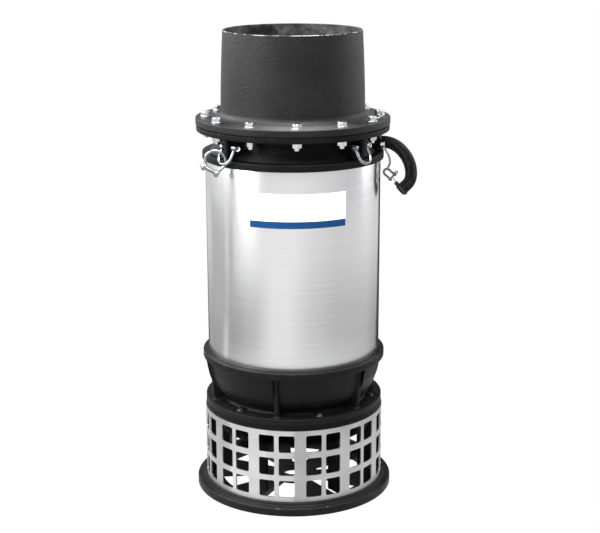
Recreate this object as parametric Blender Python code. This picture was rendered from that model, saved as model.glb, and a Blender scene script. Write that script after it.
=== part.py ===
# Submersible axial flow pump, standing upright on its base ring.
# A discharge spigot with a bolted flange sits on a cast top casing, a stainless motor shell and a
# cast bottom casing. Below hangs the suction casting with its bell and legs, wrapped by a
# perforated strainer. Shackles hang in the lifting lugs, and a short power cable leaves the gland.
# Metres, +Z up, origin on the pump's axis at floor level. Angles run from -Y towards +X.

import math

import bmesh
import bpy
from mathutils import Matrix, Vector

# General
ROUND_STEPS = 48
GAP = 0.0003
EDGE_CHAMFER = 0.0010

# Discharge spigot and the flange joint below it
FLANGE_RADIUS = 0.2142
FLANGE_TOP = 0.8527
FLANGE_JOINT = 0.8371
SPIGOT_TOP = 1.0408
SPIGOT_WALL = ((0.1525, 1.0408), (0.1549, 0.9960), (0.1568, 0.9510), (0.1581, 0.9060))
SPIGOT_RADIUS_FOOT = 0.1592
SPIGOT_FILLET = 0.0140
BORE_RADIUS = 0.1468
GASKET_THICKNESS = 0.0016
GASKET_RADIUS = 0.2080

# Top casing, with collar, lifting lugs and the cable boss
CASING_FLANGE_RADIUS = 0.2130
CASING_FLANGE_UNDERSIDE = 0.8241
TOP_COLLAR_RADIUS = 0.2006
TOP_COLLAR_TOP = 0.7780
TOP_COLLAR_BOTTOM = 0.7627
NECK_OUTLINE = (
    (0.1680, 0.8241), (0.1670, 0.8150), (0.1720, 0.7980), (0.1800, 0.7840), (0.1840, 0.7780),
)
NECK_BORE = ((0.1820, 0.7703), (0.1740, 0.7790), (0.1600, 0.8000), (0.1468, 0.8241))
LUG_ANGLES = (45.0, 135.0, -135.0, -45.0)
LUG_PLACES = ("front_right", "back_right", "back_left", "front_left")
LUG_THICKNESS = 0.0110
LUG_ROOT = 0.1600
LUG_REACH = 0.2080
LUG_HEAD = 0.8270
LUG_FOOT = 0.7740
LUG_FOOT_REACH = 0.1960
LUG_NOSE_HEIGHT = 0.7960
LUG_NOSE_RADIUS = 0.0120
PIN_CIRCLE = 0.1960
PIN_HEIGHT = 0.8060
PIN_RADIUS = 0.0045
PIN_HOLE_RADIUS = 0.0048
CABLE_HEIGHT = 0.7935
BOSS_RADIUS = 0.0200
BOSS_ROOT = 0.1700
BOSS_FACE = 0.1860
CAVITY_FOOT = 0.7600

# Stainless motor shell
SHELL_RADIUS = 0.1937
SHELL_WALL = 0.0030
SHELL_TOP = 0.7700
SHELL_BOTTOM = 0.3150

# Bottom casing: collar, bowl, ribs and flange
BOTTOM_COLLAR_RADIUS = 0.2059
BOTTOM_COLLAR_TOP = 0.3232
BOTTOM_COLLAR_BOTTOM = 0.3073
BOTTOM_FLANGE_TOP = 0.2165
BOTTOM_FLANGE_JOINT = 0.2040
SUCTION_FLANGE_RADIUS = 0.2006
SUCTION_FLANGE_BOTTOM = 0.1913
THROAT_RADIUS = 0.1405
BOWL_OUTLINE = (
    (0.1990, 0.3073), (0.1930, 0.2760), (0.1885, 0.2630), (0.1840, 0.2500), (0.1770, 0.2370),
    (0.1690, 0.2270), (0.1645, 0.2205), (0.1675, 0.2190), (0.1675, 0.2165),
)
BOWL_BORE = ((0.1860, 0.3150), (0.1780, 0.3020), (0.1640, 0.2700), (0.1405, 0.2380))
RIB_OUTLINE = (
    (0.1600, 0.2140), (0.1600, 0.2350), (0.1720, 0.2500), (0.1820, 0.2760), (0.1900, 0.3000),
    (0.1900, 0.3100), (0.1980, 0.3100), (0.1970, 0.2990), (0.1940, 0.2535), (0.1930, 0.2350),
)
RIB_FOOT_CENTRE = (0.1850, 0.2240)
RIB_FOOT_RADIUS = 0.0060
RIB_FOOT = (0.1890, 0.2140)
RIB_COUNT = 6
RIB_FIRST_ANGLE = -13.0
RIB_THICKNESS = 0.0120

# Suction casting with its bell and legs, strainer and base ring
BELL_OUTLINE = (
    (0.1520, 0.1913), (0.1530, 0.1780), (0.1600, 0.1620), (0.1740, 0.1500), (0.1740, 0.1440),
    (0.1680, 0.1440), (0.1530, 0.1580), (0.1430, 0.1760), (0.1405, 0.1913),
)
STRIP_ANGLE = 2.5
LEG_COUNT = 6
LEG_THICKNESS = 0.0120
LEG_INNER = 0.1480
LEG_OUTER = 0.1984
LEG_HEAD = (
    (0.1984, 0.1950), (0.1560, 0.1950), (0.1580, 0.1700), (0.1700, 0.1500), (0.1560, 0.1470),
    (0.1480, 0.1300),
)
BASE_RADIUS = 0.2234
BASE_THICKNESS = 0.0181
BASE_STEP_RADIUS = 0.2070
BASE_STEP_TOP = 0.0250
BASE_HOLE_RADIUS = 0.1860
BASE_SLOPE = 0.0020
BASE_RIM_CHAMFER = 0.0030
PLATE_TOP = 0.0170
PLATE_FOOT = 0.0060
PLATE_EYE_RADIUS = 0.0245
PORT_COUNT = 6
PORT_START_DEG = 32.5
PORT_WIDTH_DEG = 29.5
PORT_STEPS = 6
PORT_INNER = 0.0530
PORT_OUTER = 0.1660
PORT_OVERCUT = 0.0030
STRAINER_RADIUS = 0.2024
STRAINER_WALL = 0.0030
STRAINER_PANELS = 6
STRIP_WIDTH_DEG = 7.2
WINDOW_WIDTH_DEG = 10.0
BAR_WIDTH_DEG = 2.8
WINDOW_ROWS = ((0.0360, 0.0750), (0.0870, 0.1276), (0.1410, 0.1800))

# Propeller, shaft, diffuser and motor
HUB_RADIUS = 0.0480
HUB_BOTTOM = 0.2350
HUB_TOP = 0.2850
NOSE_BOTTOM = 0.1900
BLADE_COUNT = 4
HUB_NOSE = ((0.0430, 0.2150), (0.0280, 0.1990))
BLADE_STATIONS = (
    (0.0400, 42.0, 0.0700), (0.0750, 30.0, 0.0840), (0.1060, 23.0, 0.0960), (0.1370, 18.0, 0.1040),
)
BLADE_THICKNESS = 0.0070
SHAFT_RADIUS = 0.0200
DIFFUSER_BOTTOM = 0.2900
DIFFUSER_TOP = 0.3350
DIFFUSER_CONE = ((0.0500, 0.2900), (0.0900, 0.3040), (0.1300, 0.3220), (0.1480, 0.3310))
VANE_COUNT = 6
VANE_FIRST_ANGLE = 15.0
VANE_ROOT = 0.0450
VANE_FOOT = 0.2950
VANE_FOOT_REACH = 0.1700
VANE_INSET = 0.0020
VANE_THICKNESS = 0.0060
MOTOR_RADIUS = 0.1480
MOTOR_TOP = 0.7350
DOME_OUTLINE = ((0.0, 0.7880), (0.0500, 0.7880), (0.0950, 0.7780), (0.1300, 0.7600))
DOME_EDGE = 0.0080
STRUT_COUNT = 4
STRUT_FIRST_ANGLE = 90.0
STRUT_ROOT = 0.0900
STRUT_LIFT = 0.0060
STRUT_HEAD = ((0.1600, 0.7900), (0.1300, 0.7900), (0.0900, 0.7840))
STRUT_THICKNESS = 0.0100
DUCT_THICKNESS = 0.0420
WALL_CLEARANCE = 0.0006

# Shackles
SHACKLE_ROD = 0.0068
SHACKLE_HALF_WIDTH = 0.0175
SHACKLE_LENGTH = 0.0380
SHACKLE_LEAN_DEG = 30.0
EYE_RADIUS = 0.0080
EYE_THICKNESS = 0.0080
PIN_END = 0.0030
PIN_HEAD = 0.0045
PIN_HEAD_RADIUS = 0.0076
LINK_HALF_WIDTH = 0.0150
LINK_BOW_RADIUS = 0.0225
LINK_LENGTH = 0.0445
LINK_PIN_CENTRE = (-0.1817, -0.1402, 0.7574)
LINK_TILT_DEG = 28.0
LINK_YAW_DEG = -4.0

# Cable, its gland and what hangs by it
CABLE_DIAMETER = 0.0270
CLAMP_INNER_FACE = 0.1905
CLAMP_THICKNESS = 0.0040
CLAMP_MIDDLE_RADIUS = 0.0150
CLAMP_LOBE_RADIUS = 0.0080
CLAMP_LOBE_REACH = 0.0280
BUSH_RADIUS = 0.0150
CABLE_ROUTE = (
    (0.1863, 0.7935), (0.1960, 0.7935), (0.2065, 0.7927), (0.2200, 0.7888), (0.2330, 0.7810),
    (0.2440, 0.7703), (0.2535, 0.7566), (0.2600, 0.7412), (0.2628, 0.7248), (0.2618, 0.7105),
    (0.2568, 0.7000), (0.2485, 0.6915), (0.2405, 0.6840), (0.2380, 0.6816),
)
CABLE_POINTS = 14
TIE_PLACE = 0.0068
TIE_WIDTH = 0.0060
TIE_PLAY = 0.0004
TIE_THICKNESS = 0.0016
TIE_HEAD = ((-0.0030, -0.0045), (0.0045, -0.0045), (0.0045, 0.0045), (-0.0030, 0.0045))
TIE_HEAD_WIDTH = 0.0085
TIE_HEAD_REACH = 0.0045
WIRE_DIAMETER = 0.0048
WIRE_ROUTE = (
    (0.1972, -0.0280, 0.7925), (0.1990, -0.0278, 0.7860), (0.2040, -0.0270, 0.7780),
    (0.2090, -0.0250, 0.7685), (0.2125, -0.0210, 0.7580), (0.2135, -0.0160, 0.7480),
    (0.2115, -0.0115, 0.7405), (0.2092, -0.0100, 0.7364),
)
WIRE_POINTS = 8
SMALL_ROD = 0.0040
SMALL_HALF_WIDTH = 0.0070
SMALL_LENGTH = 0.0230
SMALL_PIN_RADIUS = 0.0022
SMALL_PIN_CENTRE = (0.2200, -0.0100, 0.7165)
SMALL_TILT_DEG = 41.5
STRAP_THICKNESS = 0.0014
STRAP_WIDTH = 0.0048


def clear_scene():
    for item in list(bpy.data.objects):
        bpy.data.objects.remove(item)


def finish(name, colour, roughness, metallic):
    material = bpy.data.materials.new(name)
    material.use_nodes = True
    shader = material.node_tree.nodes["Principled BSDF"]
    shader.inputs["Base Color"].default_value = (*colour, 1.0)
    shader.inputs["Roughness"].default_value = roughness
    shader.inputs["Metallic"].default_value = metallic
    return material


def black_casting(name):
    return finish(name, (0.055, 0.056, 0.060), 0.45, 0.0)


def stainless(name):
    return finish(name, (0.62, 0.62, 0.63), 0.25, 1.0)


def galvanised(name):
    return finish(name, (0.55, 0.56, 0.57), 0.40, 1.0)


def rubber(name):
    return finish(name, (0.018, 0.018, 0.020), 0.55, 0.0)


def link_object(name, mesh, material):
    data = bpy.data.meshes.new(name)
    mesh.to_mesh(data)
    mesh.free()
    data.shade_smooth()
    data.set_sharp_from_angle(angle=math.radians(35.0))
    data.materials.append(material)
    item = bpy.data.objects.new(name, data)
    bpy.context.scene.collection.objects.link(item)
    return item


def radial(angle_deg):
    angle = math.radians(angle_deg)
    return Vector((math.sin(angle), -math.cos(angle), 0.0))


def tangent(angle_deg):
    angle = math.radians(angle_deg)
    return Vector((math.cos(angle), math.sin(angle), 0.0))


def axes_matrix(x_axis, y_axis, z_axis, origin=(0.0, 0.0, 0.0)):
    turn = Matrix((x_axis, y_axis, z_axis)).transposed().to_4x4()
    return Matrix.Translation(Vector(origin)) @ turn


def arc(centre, radius, start_deg, end_deg, count):
    points = []
    for step in range(count):
        angle = math.radians(start_deg + (end_deg - start_deg) * step / (count - 1))
        points.append((centre[0] + radius * math.cos(angle), centre[1] + radius * math.sin(angle)))
    return points


def turned_mesh(outline, closed=True, steps=ROUND_STEPS):
    """Turn a (radius, height) outline about the vertical axis."""
    mesh = bmesh.new()
    verts = [mesh.verts.new((r, 0.0, z)) for r, z in outline]
    edges = [mesh.edges.new(pair) for pair in zip(verts, verts[1:])]
    if closed:
        edges.append(mesh.edges.new((verts[-1], verts[0])))
    bmesh.ops.spin(mesh, geom=verts + edges, cent=(0, 0, 0), axis=(0, 0, 1),
                   angle=math.tau, steps=steps, use_merge=True)
    bmesh.ops.remove_doubles(mesh, verts=mesh.verts, dist=1e-6)
    bmesh.ops.recalc_face_normals(mesh, faces=mesh.faces)
    return mesh


def turned(name, outline, material, closed=True, steps=ROUND_STEPS):
    return link_object(name, turned_mesh(outline, closed, steps), material)


def slab_mesh(outline, thickness, matrix):
    """An outline in the local XZ plane, given thickness along local Y."""
    mesh = bmesh.new()
    face = mesh.faces.new([mesh.verts.new((x, -thickness / 2, z)) for x, z in outline])
    grown = bmesh.ops.extrude_face_region(mesh, geom=[face])
    moved = [part for part in grown["geom"] if isinstance(part, bmesh.types.BMVert)]
    bmesh.ops.translate(mesh, vec=(0, thickness, 0), verts=moved)
    bmesh.ops.recalc_face_normals(mesh, faces=mesh.faces)
    bmesh.ops.transform(mesh, matrix=matrix, verts=mesh.verts)
    return mesh


def radial_slab(name, outline, thickness, angle_deg, material):
    """A plate standing along a radius: outline points are (radius, height)."""
    matrix = axes_matrix(radial(angle_deg), tangent(angle_deg), Vector((0, 0, 1)))
    return link_object(name, slab_mesh(outline, thickness, matrix), material)


def rod_mesh(radius, start, end, steps):
    start, end = Vector(start), Vector(end)
    mesh = bmesh.new()
    bmesh.ops.create_cone(mesh, cap_ends=True, segments=steps, radius1=radius, radius2=radius,
                          depth=(end - start).length)
    turn = Vector((0, 0, 1)).rotation_difference(end - start).to_matrix().to_4x4()
    bmesh.ops.transform(mesh, matrix=Matrix.Translation((start + end) / 2) @ turn, verts=mesh.verts)
    return mesh


def rod(name, radius, start, end, material, steps=12):
    return link_object(name, rod_mesh(radius, start, end, steps), material)


def combine(target, tool, operation):
    """Add or cut with a guide object, which stays out of the model."""
    tool.hide_render = True
    tool.display_type = "WIRE"
    modifier = target.modifiers.new(tool.name, "BOOLEAN")
    modifier.operation = operation
    modifier.solver = "EXACT"
    modifier.object = tool


def inset(points, clearance):
    return [(radius - clearance, height) for radius, height in points]


def discharge_spigot():
    foot = SPIGOT_RADIUS_FOOT + SPIGOT_FILLET
    fillet = arc((foot, FLANGE_TOP + SPIGOT_FILLET), SPIGOT_FILLET, 180.0, 270.0, 4)
    outline = [(BORE_RADIUS, SPIGOT_TOP), *SPIGOT_WALL, *fillet]
    outline += [
        (FLANGE_RADIUS - EDGE_CHAMFER, FLANGE_TOP),
        (FLANGE_RADIUS, FLANGE_TOP - EDGE_CHAMFER),
        (FLANGE_RADIUS, FLANGE_JOINT + GASKET_THICKNESS / 2 + GAP),
        (BORE_RADIUS, FLANGE_JOINT + GASKET_THICKNESS / 2 + GAP),
    ]
    turned("discharge_spigot", outline, black_casting("spigot_paint"))


def flange_gasket():
    half = GASKET_THICKNESS / 2
    outline = [
        (BORE_RADIUS, FLANGE_JOINT + half), (GASKET_RADIUS, FLANGE_JOINT + half),
        (GASKET_RADIUS, FLANGE_JOINT - half), (BORE_RADIUS, FLANGE_JOINT - half),
    ]
    turned("flange_gasket", outline, rubber("gasket_rubber"))


def lug_outline():
    nose = arc((LUG_REACH - LUG_NOSE_RADIUS, LUG_NOSE_HEIGHT), LUG_NOSE_RADIUS, 0.0, -60.0, 4)
    head = [(LUG_ROOT, LUG_FOOT), (LUG_ROOT, LUG_HEAD), (LUG_REACH, LUG_HEAD)]
    return head + nose + [(LUG_FOOT_REACH, LUG_FOOT)]


def top_casing():
    top = FLANGE_JOINT - GASKET_THICKNESS / 2 - GAP
    outline = [
        (CASING_FLANGE_RADIUS, top),
        (CASING_FLANGE_RADIUS, CASING_FLANGE_UNDERSIDE + EDGE_CHAMFER),
        (CASING_FLANGE_RADIUS - EDGE_CHAMFER, CASING_FLANGE_UNDERSIDE),
        *NECK_OUTLINE,
        (TOP_COLLAR_RADIUS - EDGE_CHAMFER, TOP_COLLAR_TOP),
        (TOP_COLLAR_RADIUS, TOP_COLLAR_TOP - EDGE_CHAMFER),
        (TOP_COLLAR_RADIUS, TOP_COLLAR_BOTTOM),
        (SHELL_RADIUS + GAP, TOP_COLLAR_BOTTOM),
        (SHELL_RADIUS + GAP, SHELL_TOP + GAP),
        *NECK_BORE,
        (BORE_RADIUS, top),
    ]
    paint = black_casting("top_casing_paint")
    casing = turned("top_casing", outline, paint)
    for number, angle in enumerate(LUG_ANGLES, 1):
        lug = radial_slab(f"lug_stock_{number}", lug_outline(), LUG_THICKNESS, angle, paint)
        combine(casing, lug, "UNION")
    boss_ends = ((BOSS_ROOT, 0.0, CABLE_HEIGHT), (BOSS_FACE, 0.0, CABLE_HEIGHT))
    boss = rod("cable_boss_stock", BOSS_RADIUS, *boss_ends, paint, 20)
    wall = inset(NECK_BORE, GAP)
    cavity = [(0.0, CASING_FLANGE_UNDERSIDE), *reversed(wall)]
    cavity += [(wall[0][0], CAVITY_FOOT), (0.0, CAVITY_FOOT)]
    hollow = turned("casing_cavity", cavity, paint, closed=False)
    combine(boss, hollow, "DIFFERENCE")
    combine(casing, boss, "UNION")
    for number, angle in enumerate(LUG_ANGLES, 1):
        centre = radial(angle) * PIN_CIRCLE + Vector((0, 0, PIN_HEIGHT))
        reach = tangent(angle) * LUG_THICKNESS
        hole = rod(f"lug_hole_{number}", PIN_HOLE_RADIUS, centre - reach, centre + reach, paint, 16)
        combine(casing, hole, "DIFFERENCE")


def motor_shell():
    outline = [
        (SHELL_RADIUS - SHELL_WALL, SHELL_TOP), (SHELL_RADIUS, SHELL_TOP),
        (SHELL_RADIUS, SHELL_BOTTOM + GAP), (SHELL_RADIUS - SHELL_WALL, SHELL_BOTTOM + GAP),
    ]
    turned("motor_shell", outline, stainless("shell_steel"))


def bottom_casing():
    outline = [
        (BOTTOM_COLLAR_RADIUS - 2 * EDGE_CHAMFER, BOTTOM_COLLAR_TOP),
        (BOTTOM_COLLAR_RADIUS, BOTTOM_COLLAR_TOP - 2 * EDGE_CHAMFER),
        (BOTTOM_COLLAR_RADIUS, BOTTOM_COLLAR_BOTTOM + EDGE_CHAMFER),
        (BOTTOM_COLLAR_RADIUS - EDGE_CHAMFER, BOTTOM_COLLAR_BOTTOM),
        *BOWL_OUTLINE,
        (SUCTION_FLANGE_RADIUS - EDGE_CHAMFER, BOTTOM_FLANGE_TOP),
        (SUCTION_FLANGE_RADIUS, BOTTOM_FLANGE_TOP - EDGE_CHAMFER),
        (SUCTION_FLANGE_RADIUS, BOTTOM_FLANGE_JOINT),
        (THROAT_RADIUS, BOTTOM_FLANGE_JOINT),
        *reversed(BOWL_BORE),
        (SHELL_RADIUS + GAP, SHELL_BOTTOM),
        (SHELL_RADIUS + GAP, BOTTOM_COLLAR_TOP),
    ]
    paint = black_casting("bottom_casing_paint")
    casing = turned("bottom_casing", outline, paint)
    rib_outline = [*RIB_OUTLINE, *arc(RIB_FOOT_CENTRE, RIB_FOOT_RADIUS, 0.0, -60.0, 3), RIB_FOOT]
    for number in range(RIB_COUNT):
        angle = RIB_FIRST_ANGLE + number * 360.0 / RIB_COUNT
        rib = radial_slab(f"rib_stock_{number + 1}", rib_outline, RIB_THICKNESS, angle, paint)
        combine(casing, rib, "UNION")


def suction_casting():
    top = BOTTOM_FLANGE_JOINT - GAP
    outline = [
        (SUCTION_FLANGE_RADIUS, top), (SUCTION_FLANGE_RADIUS, SUCTION_FLANGE_BOTTOM),
        *BELL_OUTLINE, (THROAT_RADIUS, top),
    ]
    paint = black_casting("suction_casting_paint")
    casting = turned("suction_casting", outline, paint)
    foot = BASE_STEP_TOP + GAP
    leg = [(LEG_OUTER, foot), *LEG_HEAD, (LEG_INNER, foot)]
    for number in range(LEG_COUNT):
        angle = STRIP_ANGLE + 30.0 + number * 360.0 / LEG_COUNT
        stock = radial_slab(f"leg_stock_{number + 1}", leg, LEG_THICKNESS, angle, paint)
        combine(casting, stock, "UNION")


def port_mesh(start_deg):
    """A block between two arcs, which cuts one opening in the floor of the base."""
    turns = [start_deg + PORT_WIDTH_DEG * step / PORT_STEPS for step in range(PORT_STEPS + 1)]
    plan = [radial(turn) * PORT_INNER for turn in turns]
    plan += [radial(turn) * PORT_OUTER for turn in reversed(turns)]
    mesh = bmesh.new()
    face = mesh.faces.new([mesh.verts.new(point) for point in plan])
    grown = bmesh.ops.extrude_face_region(mesh, geom=[face])
    moved = [part for part in grown["geom"] if isinstance(part, bmesh.types.BMVert)]
    bmesh.ops.translate(mesh, vec=(0, 0, PLATE_TOP + PORT_OVERCUT), verts=moved)
    bmesh.ops.recalc_face_normals(mesh, faces=mesh.faces)
    return mesh


def base_ring():
    """The ring and its floor are one casting. Six openings and an eye are cut in the floor."""
    outline = [
        (PLATE_EYE_RADIUS, PLATE_FOOT), (PLATE_EYE_RADIUS, PLATE_TOP),
        (BASE_HOLE_RADIUS, PLATE_TOP), (BASE_HOLE_RADIUS, BASE_STEP_TOP - EDGE_CHAMFER),
        (BASE_HOLE_RADIUS + EDGE_CHAMFER, BASE_STEP_TOP),
        (BASE_STEP_RADIUS, BASE_STEP_TOP), (BASE_STEP_RADIUS + BASE_SLOPE, BASE_THICKNESS),
        (BASE_RADIUS - BASE_RIM_CHAMFER, BASE_THICKNESS),
        (BASE_RADIUS, BASE_THICKNESS - BASE_RIM_CHAMFER),
        (BASE_RADIUS, EDGE_CHAMFER), (BASE_RADIUS - EDGE_CHAMFER, 0.0),
        (BASE_HOLE_RADIUS, 0.0), (BASE_HOLE_RADIUS, PLATE_FOOT),
    ]
    paint = black_casting("base_ring_paint")
    casting = turned("base_ring", outline, paint)
    for number in range(PORT_COUNT):
        start_deg = PORT_START_DEG + number * 360.0 / PORT_COUNT
        stock = link_object(f"port_stock_{number + 1}", port_mesh(start_deg), paint)
        combine(casting, stock, "DIFFERENCE")


def strainer_columns():
    """Angles across one panel, from its first edge, with open marking each window column."""
    half_strip = STRIP_WIDTH_DEG / 2
    period = (half_strip, WINDOW_WIDTH_DEG, BAR_WIDTH_DEG, WINDOW_WIDTH_DEG, half_strip)
    angles, is_open = [0.0], []
    for _ in range(2):
        for place, width in enumerate(period):
            angles.append(angles[-1] + width)
            is_open.append(place in (1, 3))
    return angles, is_open


def strainer_rows():
    heights, is_open = [BASE_STEP_TOP + GAP], []
    for low, high in WINDOW_ROWS:
        heights += [low, high]
        is_open += [False, True]
    heights.append(SUCTION_FLANGE_BOTTOM - GAP)
    is_open.append(False)
    return heights, is_open


def strainer_panel(number, material):
    angles, column_open = strainer_columns()
    heights, row_open = strainer_rows()
    seam = math.degrees(GAP / 2 / STRAINER_RADIUS)
    angles[0] += seam
    angles[-1] -= seam
    start = STRIP_ANGLE + 30.0 + number * 360.0 / STRAINER_PANELS
    mesh = bmesh.new()
    grid = [[[mesh.verts.new(radial(start + angle) * radius + Vector((0, 0, height)))
              for height in heights] for angle in angles]
            for radius in (STRAINER_RADIUS, STRAINER_RADIUS - STRAINER_WALL)]
    filled = {(a, h) for a in range(len(column_open)) for h in range(len(row_open))
              if not (column_open[a] and row_open[h])}
    for a, h in filled:
        for skin in grid:
            mesh.faces.new((skin[a][h], skin[a + 1][h], skin[a + 1][h + 1], skin[a][h + 1]))
        edges = {
            (a - 1, h): ((a, h), (a, h + 1)), (a + 1, h): ((a + 1, h), (a + 1, h + 1)),
            (a, h - 1): ((a, h), (a + 1, h)), (a, h + 1): ((a, h + 1), (a + 1, h + 1)),
        }
        for neighbour, ((a0, h0), (a1, h1)) in edges.items():
            if neighbour not in filled:
                outer, inner = grid
                mesh.faces.new((outer[a0][h0], outer[a1][h1], inner[a1][h1], inner[a0][h0]))
    bmesh.ops.recalc_face_normals(mesh, faces=mesh.faces)
    link_object(f"strainer_panel_{number + 1}", mesh, material)


def strainer():
    steel = stainless("strainer_steel")
    for number in range(STRAINER_PANELS):
        strainer_panel(number, steel)


def blade_mesh(angle_deg):
    """A twisted blade from inside the hub to the tip."""
    across = (-0.5, -0.25, 0.0, 0.25, 0.5)
    middle = (HUB_BOTTOM + HUB_TOP) / 2
    mesh = bmesh.new()
    sides = []
    for side in (0.5, -0.5):
        rows = []
        for radius, pitch_deg, chord in BLADE_STATIONS:
            pitch = math.radians(pitch_deg)
            row = []
            for place in across:
                swept = angle_deg + math.degrees(place * chord * math.cos(pitch) / radius)
                height = middle + place * chord * math.sin(pitch)
                height += side * BLADE_THICKNESS * (1.0 - abs(place))
                row.append(mesh.verts.new(radial(swept) * radius + Vector((0, 0, height))))
            rows.append(row)
        sides.append(rows)
    last, end = len(BLADE_STATIONS) - 1, len(across) - 1
    for rows in sides:
        for i in range(last):
            for j in range(end):
                mesh.faces.new((rows[i][j], rows[i + 1][j], rows[i + 1][j + 1], rows[i][j + 1]))
    top, bottom = sides
    for i in range(last):
        for j in (0, end):
            mesh.faces.new((top[i][j], top[i + 1][j], bottom[i + 1][j], bottom[i][j]))
    for j in range(end):
        for i in (0, last):
            mesh.faces.new((top[i][j], top[i][j + 1], bottom[i][j + 1], bottom[i][j]))
    bmesh.ops.recalc_face_normals(mesh, faces=mesh.faces)
    return mesh


def propeller():
    bronze = finish("propeller_bronze", (0.42, 0.36, 0.26), 0.35, 1.0)
    outline = [
        (0.0, HUB_TOP), (HUB_RADIUS, HUB_TOP), (HUB_RADIUS, HUB_BOTTOM), *HUB_NOSE,
        (0.0, NOSE_BOTTOM),
    ]
    hub = turned("propeller", outline, bronze, closed=False, steps=24)
    for number in range(BLADE_COUNT):
        angle = number * 360.0 / BLADE_COUNT
        blade = link_object(f"blade_stock_{number + 1}", blade_mesh(angle), bronze)
        combine(hub, blade, "UNION")


def shaft():
    steel = stainless("shaft_steel")
    rod("shaft", SHAFT_RADIUS, (0, 0, HUB_TOP + GAP), (0, 0, DIFFUSER_TOP), steel, 16)


def diffuser():
    paint = black_casting("diffuser_paint")
    bore = SHAFT_RADIUS + GAP
    outline = [
        (bore, DIFFUSER_BOTTOM), *DIFFUSER_CONE, (MOTOR_RADIUS, DIFFUSER_TOP), (bore, DIFFUSER_TOP),
    ]
    body = turned("diffuser", outline, paint)
    seat, below = inset(BOWL_BORE, WALL_CLEARANCE)[:2]
    shell_bore = SHELL_RADIUS - SHELL_WALL - 2 * WALL_CLEARANCE
    head = DIFFUSER_TOP - VANE_INSET
    vane = [(VANE_ROOT, VANE_FOOT), (VANE_FOOT_REACH, VANE_FOOT), below, seat,
            (shell_bore, SHELL_BOTTOM + VANE_INSET), (shell_bore, head), (VANE_ROOT, head)]
    for number in range(VANE_COUNT):
        angle = VANE_FIRST_ANGLE + number * 360.0 / VANE_COUNT
        stock = radial_slab(f"vane_stock_{number + 1}", vane, VANE_THICKNESS, angle, paint)
        combine(body, stock, "UNION")


def motor_housing():
    paint = black_casting("motor_paint")
    outline = [
        (0.0, MOTOR_TOP), (MOTOR_RADIUS, MOTOR_TOP),
        (MOTOR_RADIUS, DIFFUSER_TOP + GAP), (0.0, DIFFUSER_TOP + GAP),
    ]
    turned("motor_housing", outline, paint, closed=False)


def motor_head():
    paint = black_casting("motor_head_paint")
    base = MOTOR_TOP + GAP
    outline = [
        *DOME_OUTLINE, (MOTOR_RADIUS, base + DOME_EDGE), (MOTOR_RADIUS, base), (0.0, base),
    ]
    head = turned("motor_head", outline, paint, closed=False)
    for number in range(STRUT_COUNT):
        thickness = DUCT_THICKNESS if number == 0 else STRUT_THICKNESS
        angle = STRUT_FIRST_ANGLE + number * 360.0 / STRUT_COUNT
        rounding = (thickness / 2) ** 2 / (2 * BORE_RADIUS)
        low, high = inset(NECK_BORE, WALL_CLEARANCE + rounding)[:2]
        foot = base + STRUT_LIFT
        strut = [(STRUT_ROOT, foot), (low[0], foot), low, high, *STRUT_HEAD]
        stock = radial_slab(f"strut_stock_{number + 1}", strut, thickness, angle, paint)
        combine(head, stock, "UNION")


def shackle_path(half_width, bow_radius, length, eye_radius):
    """Centre line of a bow in its own plane: legs down from the eyes, then the round end."""
    straight = length - bow_radius
    bend = arc((0.0, -straight), bow_radius, 0.0, -180.0, 9)
    right = [(half_width, -0.4 * eye_radius), (half_width, -0.9 * eye_radius)]
    left = [(-x, z) for x, z in reversed(right)]
    return right + bend + left


def bent_rod_mesh(path, radius, steps=8):
    """A round rod swept along a path that lies in the local XZ plane."""
    mesh = bmesh.new()
    rings = []
    for place, (x, z) in enumerate(path):
        before = Vector(path[max(place - 1, 0)])
        after = Vector(path[min(place + 1, len(path) - 1)])
        along = (after - before).normalized()
        across = Vector((along.y, 0.0, -along.x))
        ring = []
        for step in range(steps):
            angle = math.tau * step / steps
            offset = across * math.cos(angle) + Vector((0, 1, 0)) * math.sin(angle)
            ring.append(mesh.verts.new(Vector((x, 0.0, z)) + offset * radius))
        rings.append(ring)
    for ring, following in zip(rings, rings[1:]):
        for step in range(steps):
            after = (step + 1) % steps
            mesh.faces.new((ring[step], ring[after], following[after], following[step]))
    mesh.faces.new(rings[0])
    mesh.faces.new(rings[-1])
    bmesh.ops.recalc_face_normals(mesh, faces=mesh.faces)
    return mesh


def settled(item):
    """The item's mesh with its modifiers carried out, and its guides cleared away."""
    bpy.context.view_layer.update()
    evaluated = item.evaluated_get(bpy.context.evaluated_depsgraph_get())
    mesh = bpy.data.meshes.new_from_object(evaluated)
    for modifier in item.modifiers:
        bpy.data.objects.remove(modifier.object)
    bpy.data.objects.remove(item)
    return mesh


def bow_mesh(half_width, bow_radius, length, rod_radius, steel):
    """A bow with drilled eyes, its pin axis along X at the origin, hanging towards -Z."""
    size = 2 * rod_radius / SHACKLE_ROD
    eye_radius = size * EYE_RADIUS
    path = shackle_path(half_width, bow_radius, length, eye_radius)
    bow = link_object("bow_stock", bent_rod_mesh(path, rod_radius), steel)
    reach = size * EYE_THICKNESS / 2
    for side in (half_width, -half_width):
        eye = rod("eye_stock", eye_radius, (side - reach, 0, 0), (side + reach, 0, 0), steel, 14)
        combine(bow, eye, "UNION")
    far = half_width + 2 * EYE_THICKNESS
    hole_radius = size * PIN_RADIUS + GAP
    hole = rod("eye_hole", hole_radius, (-far, 0, 0), (far, 0, 0), steel, 12)
    combine(bow, hole, "DIFFERENCE")
    return settled(bow)


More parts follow.
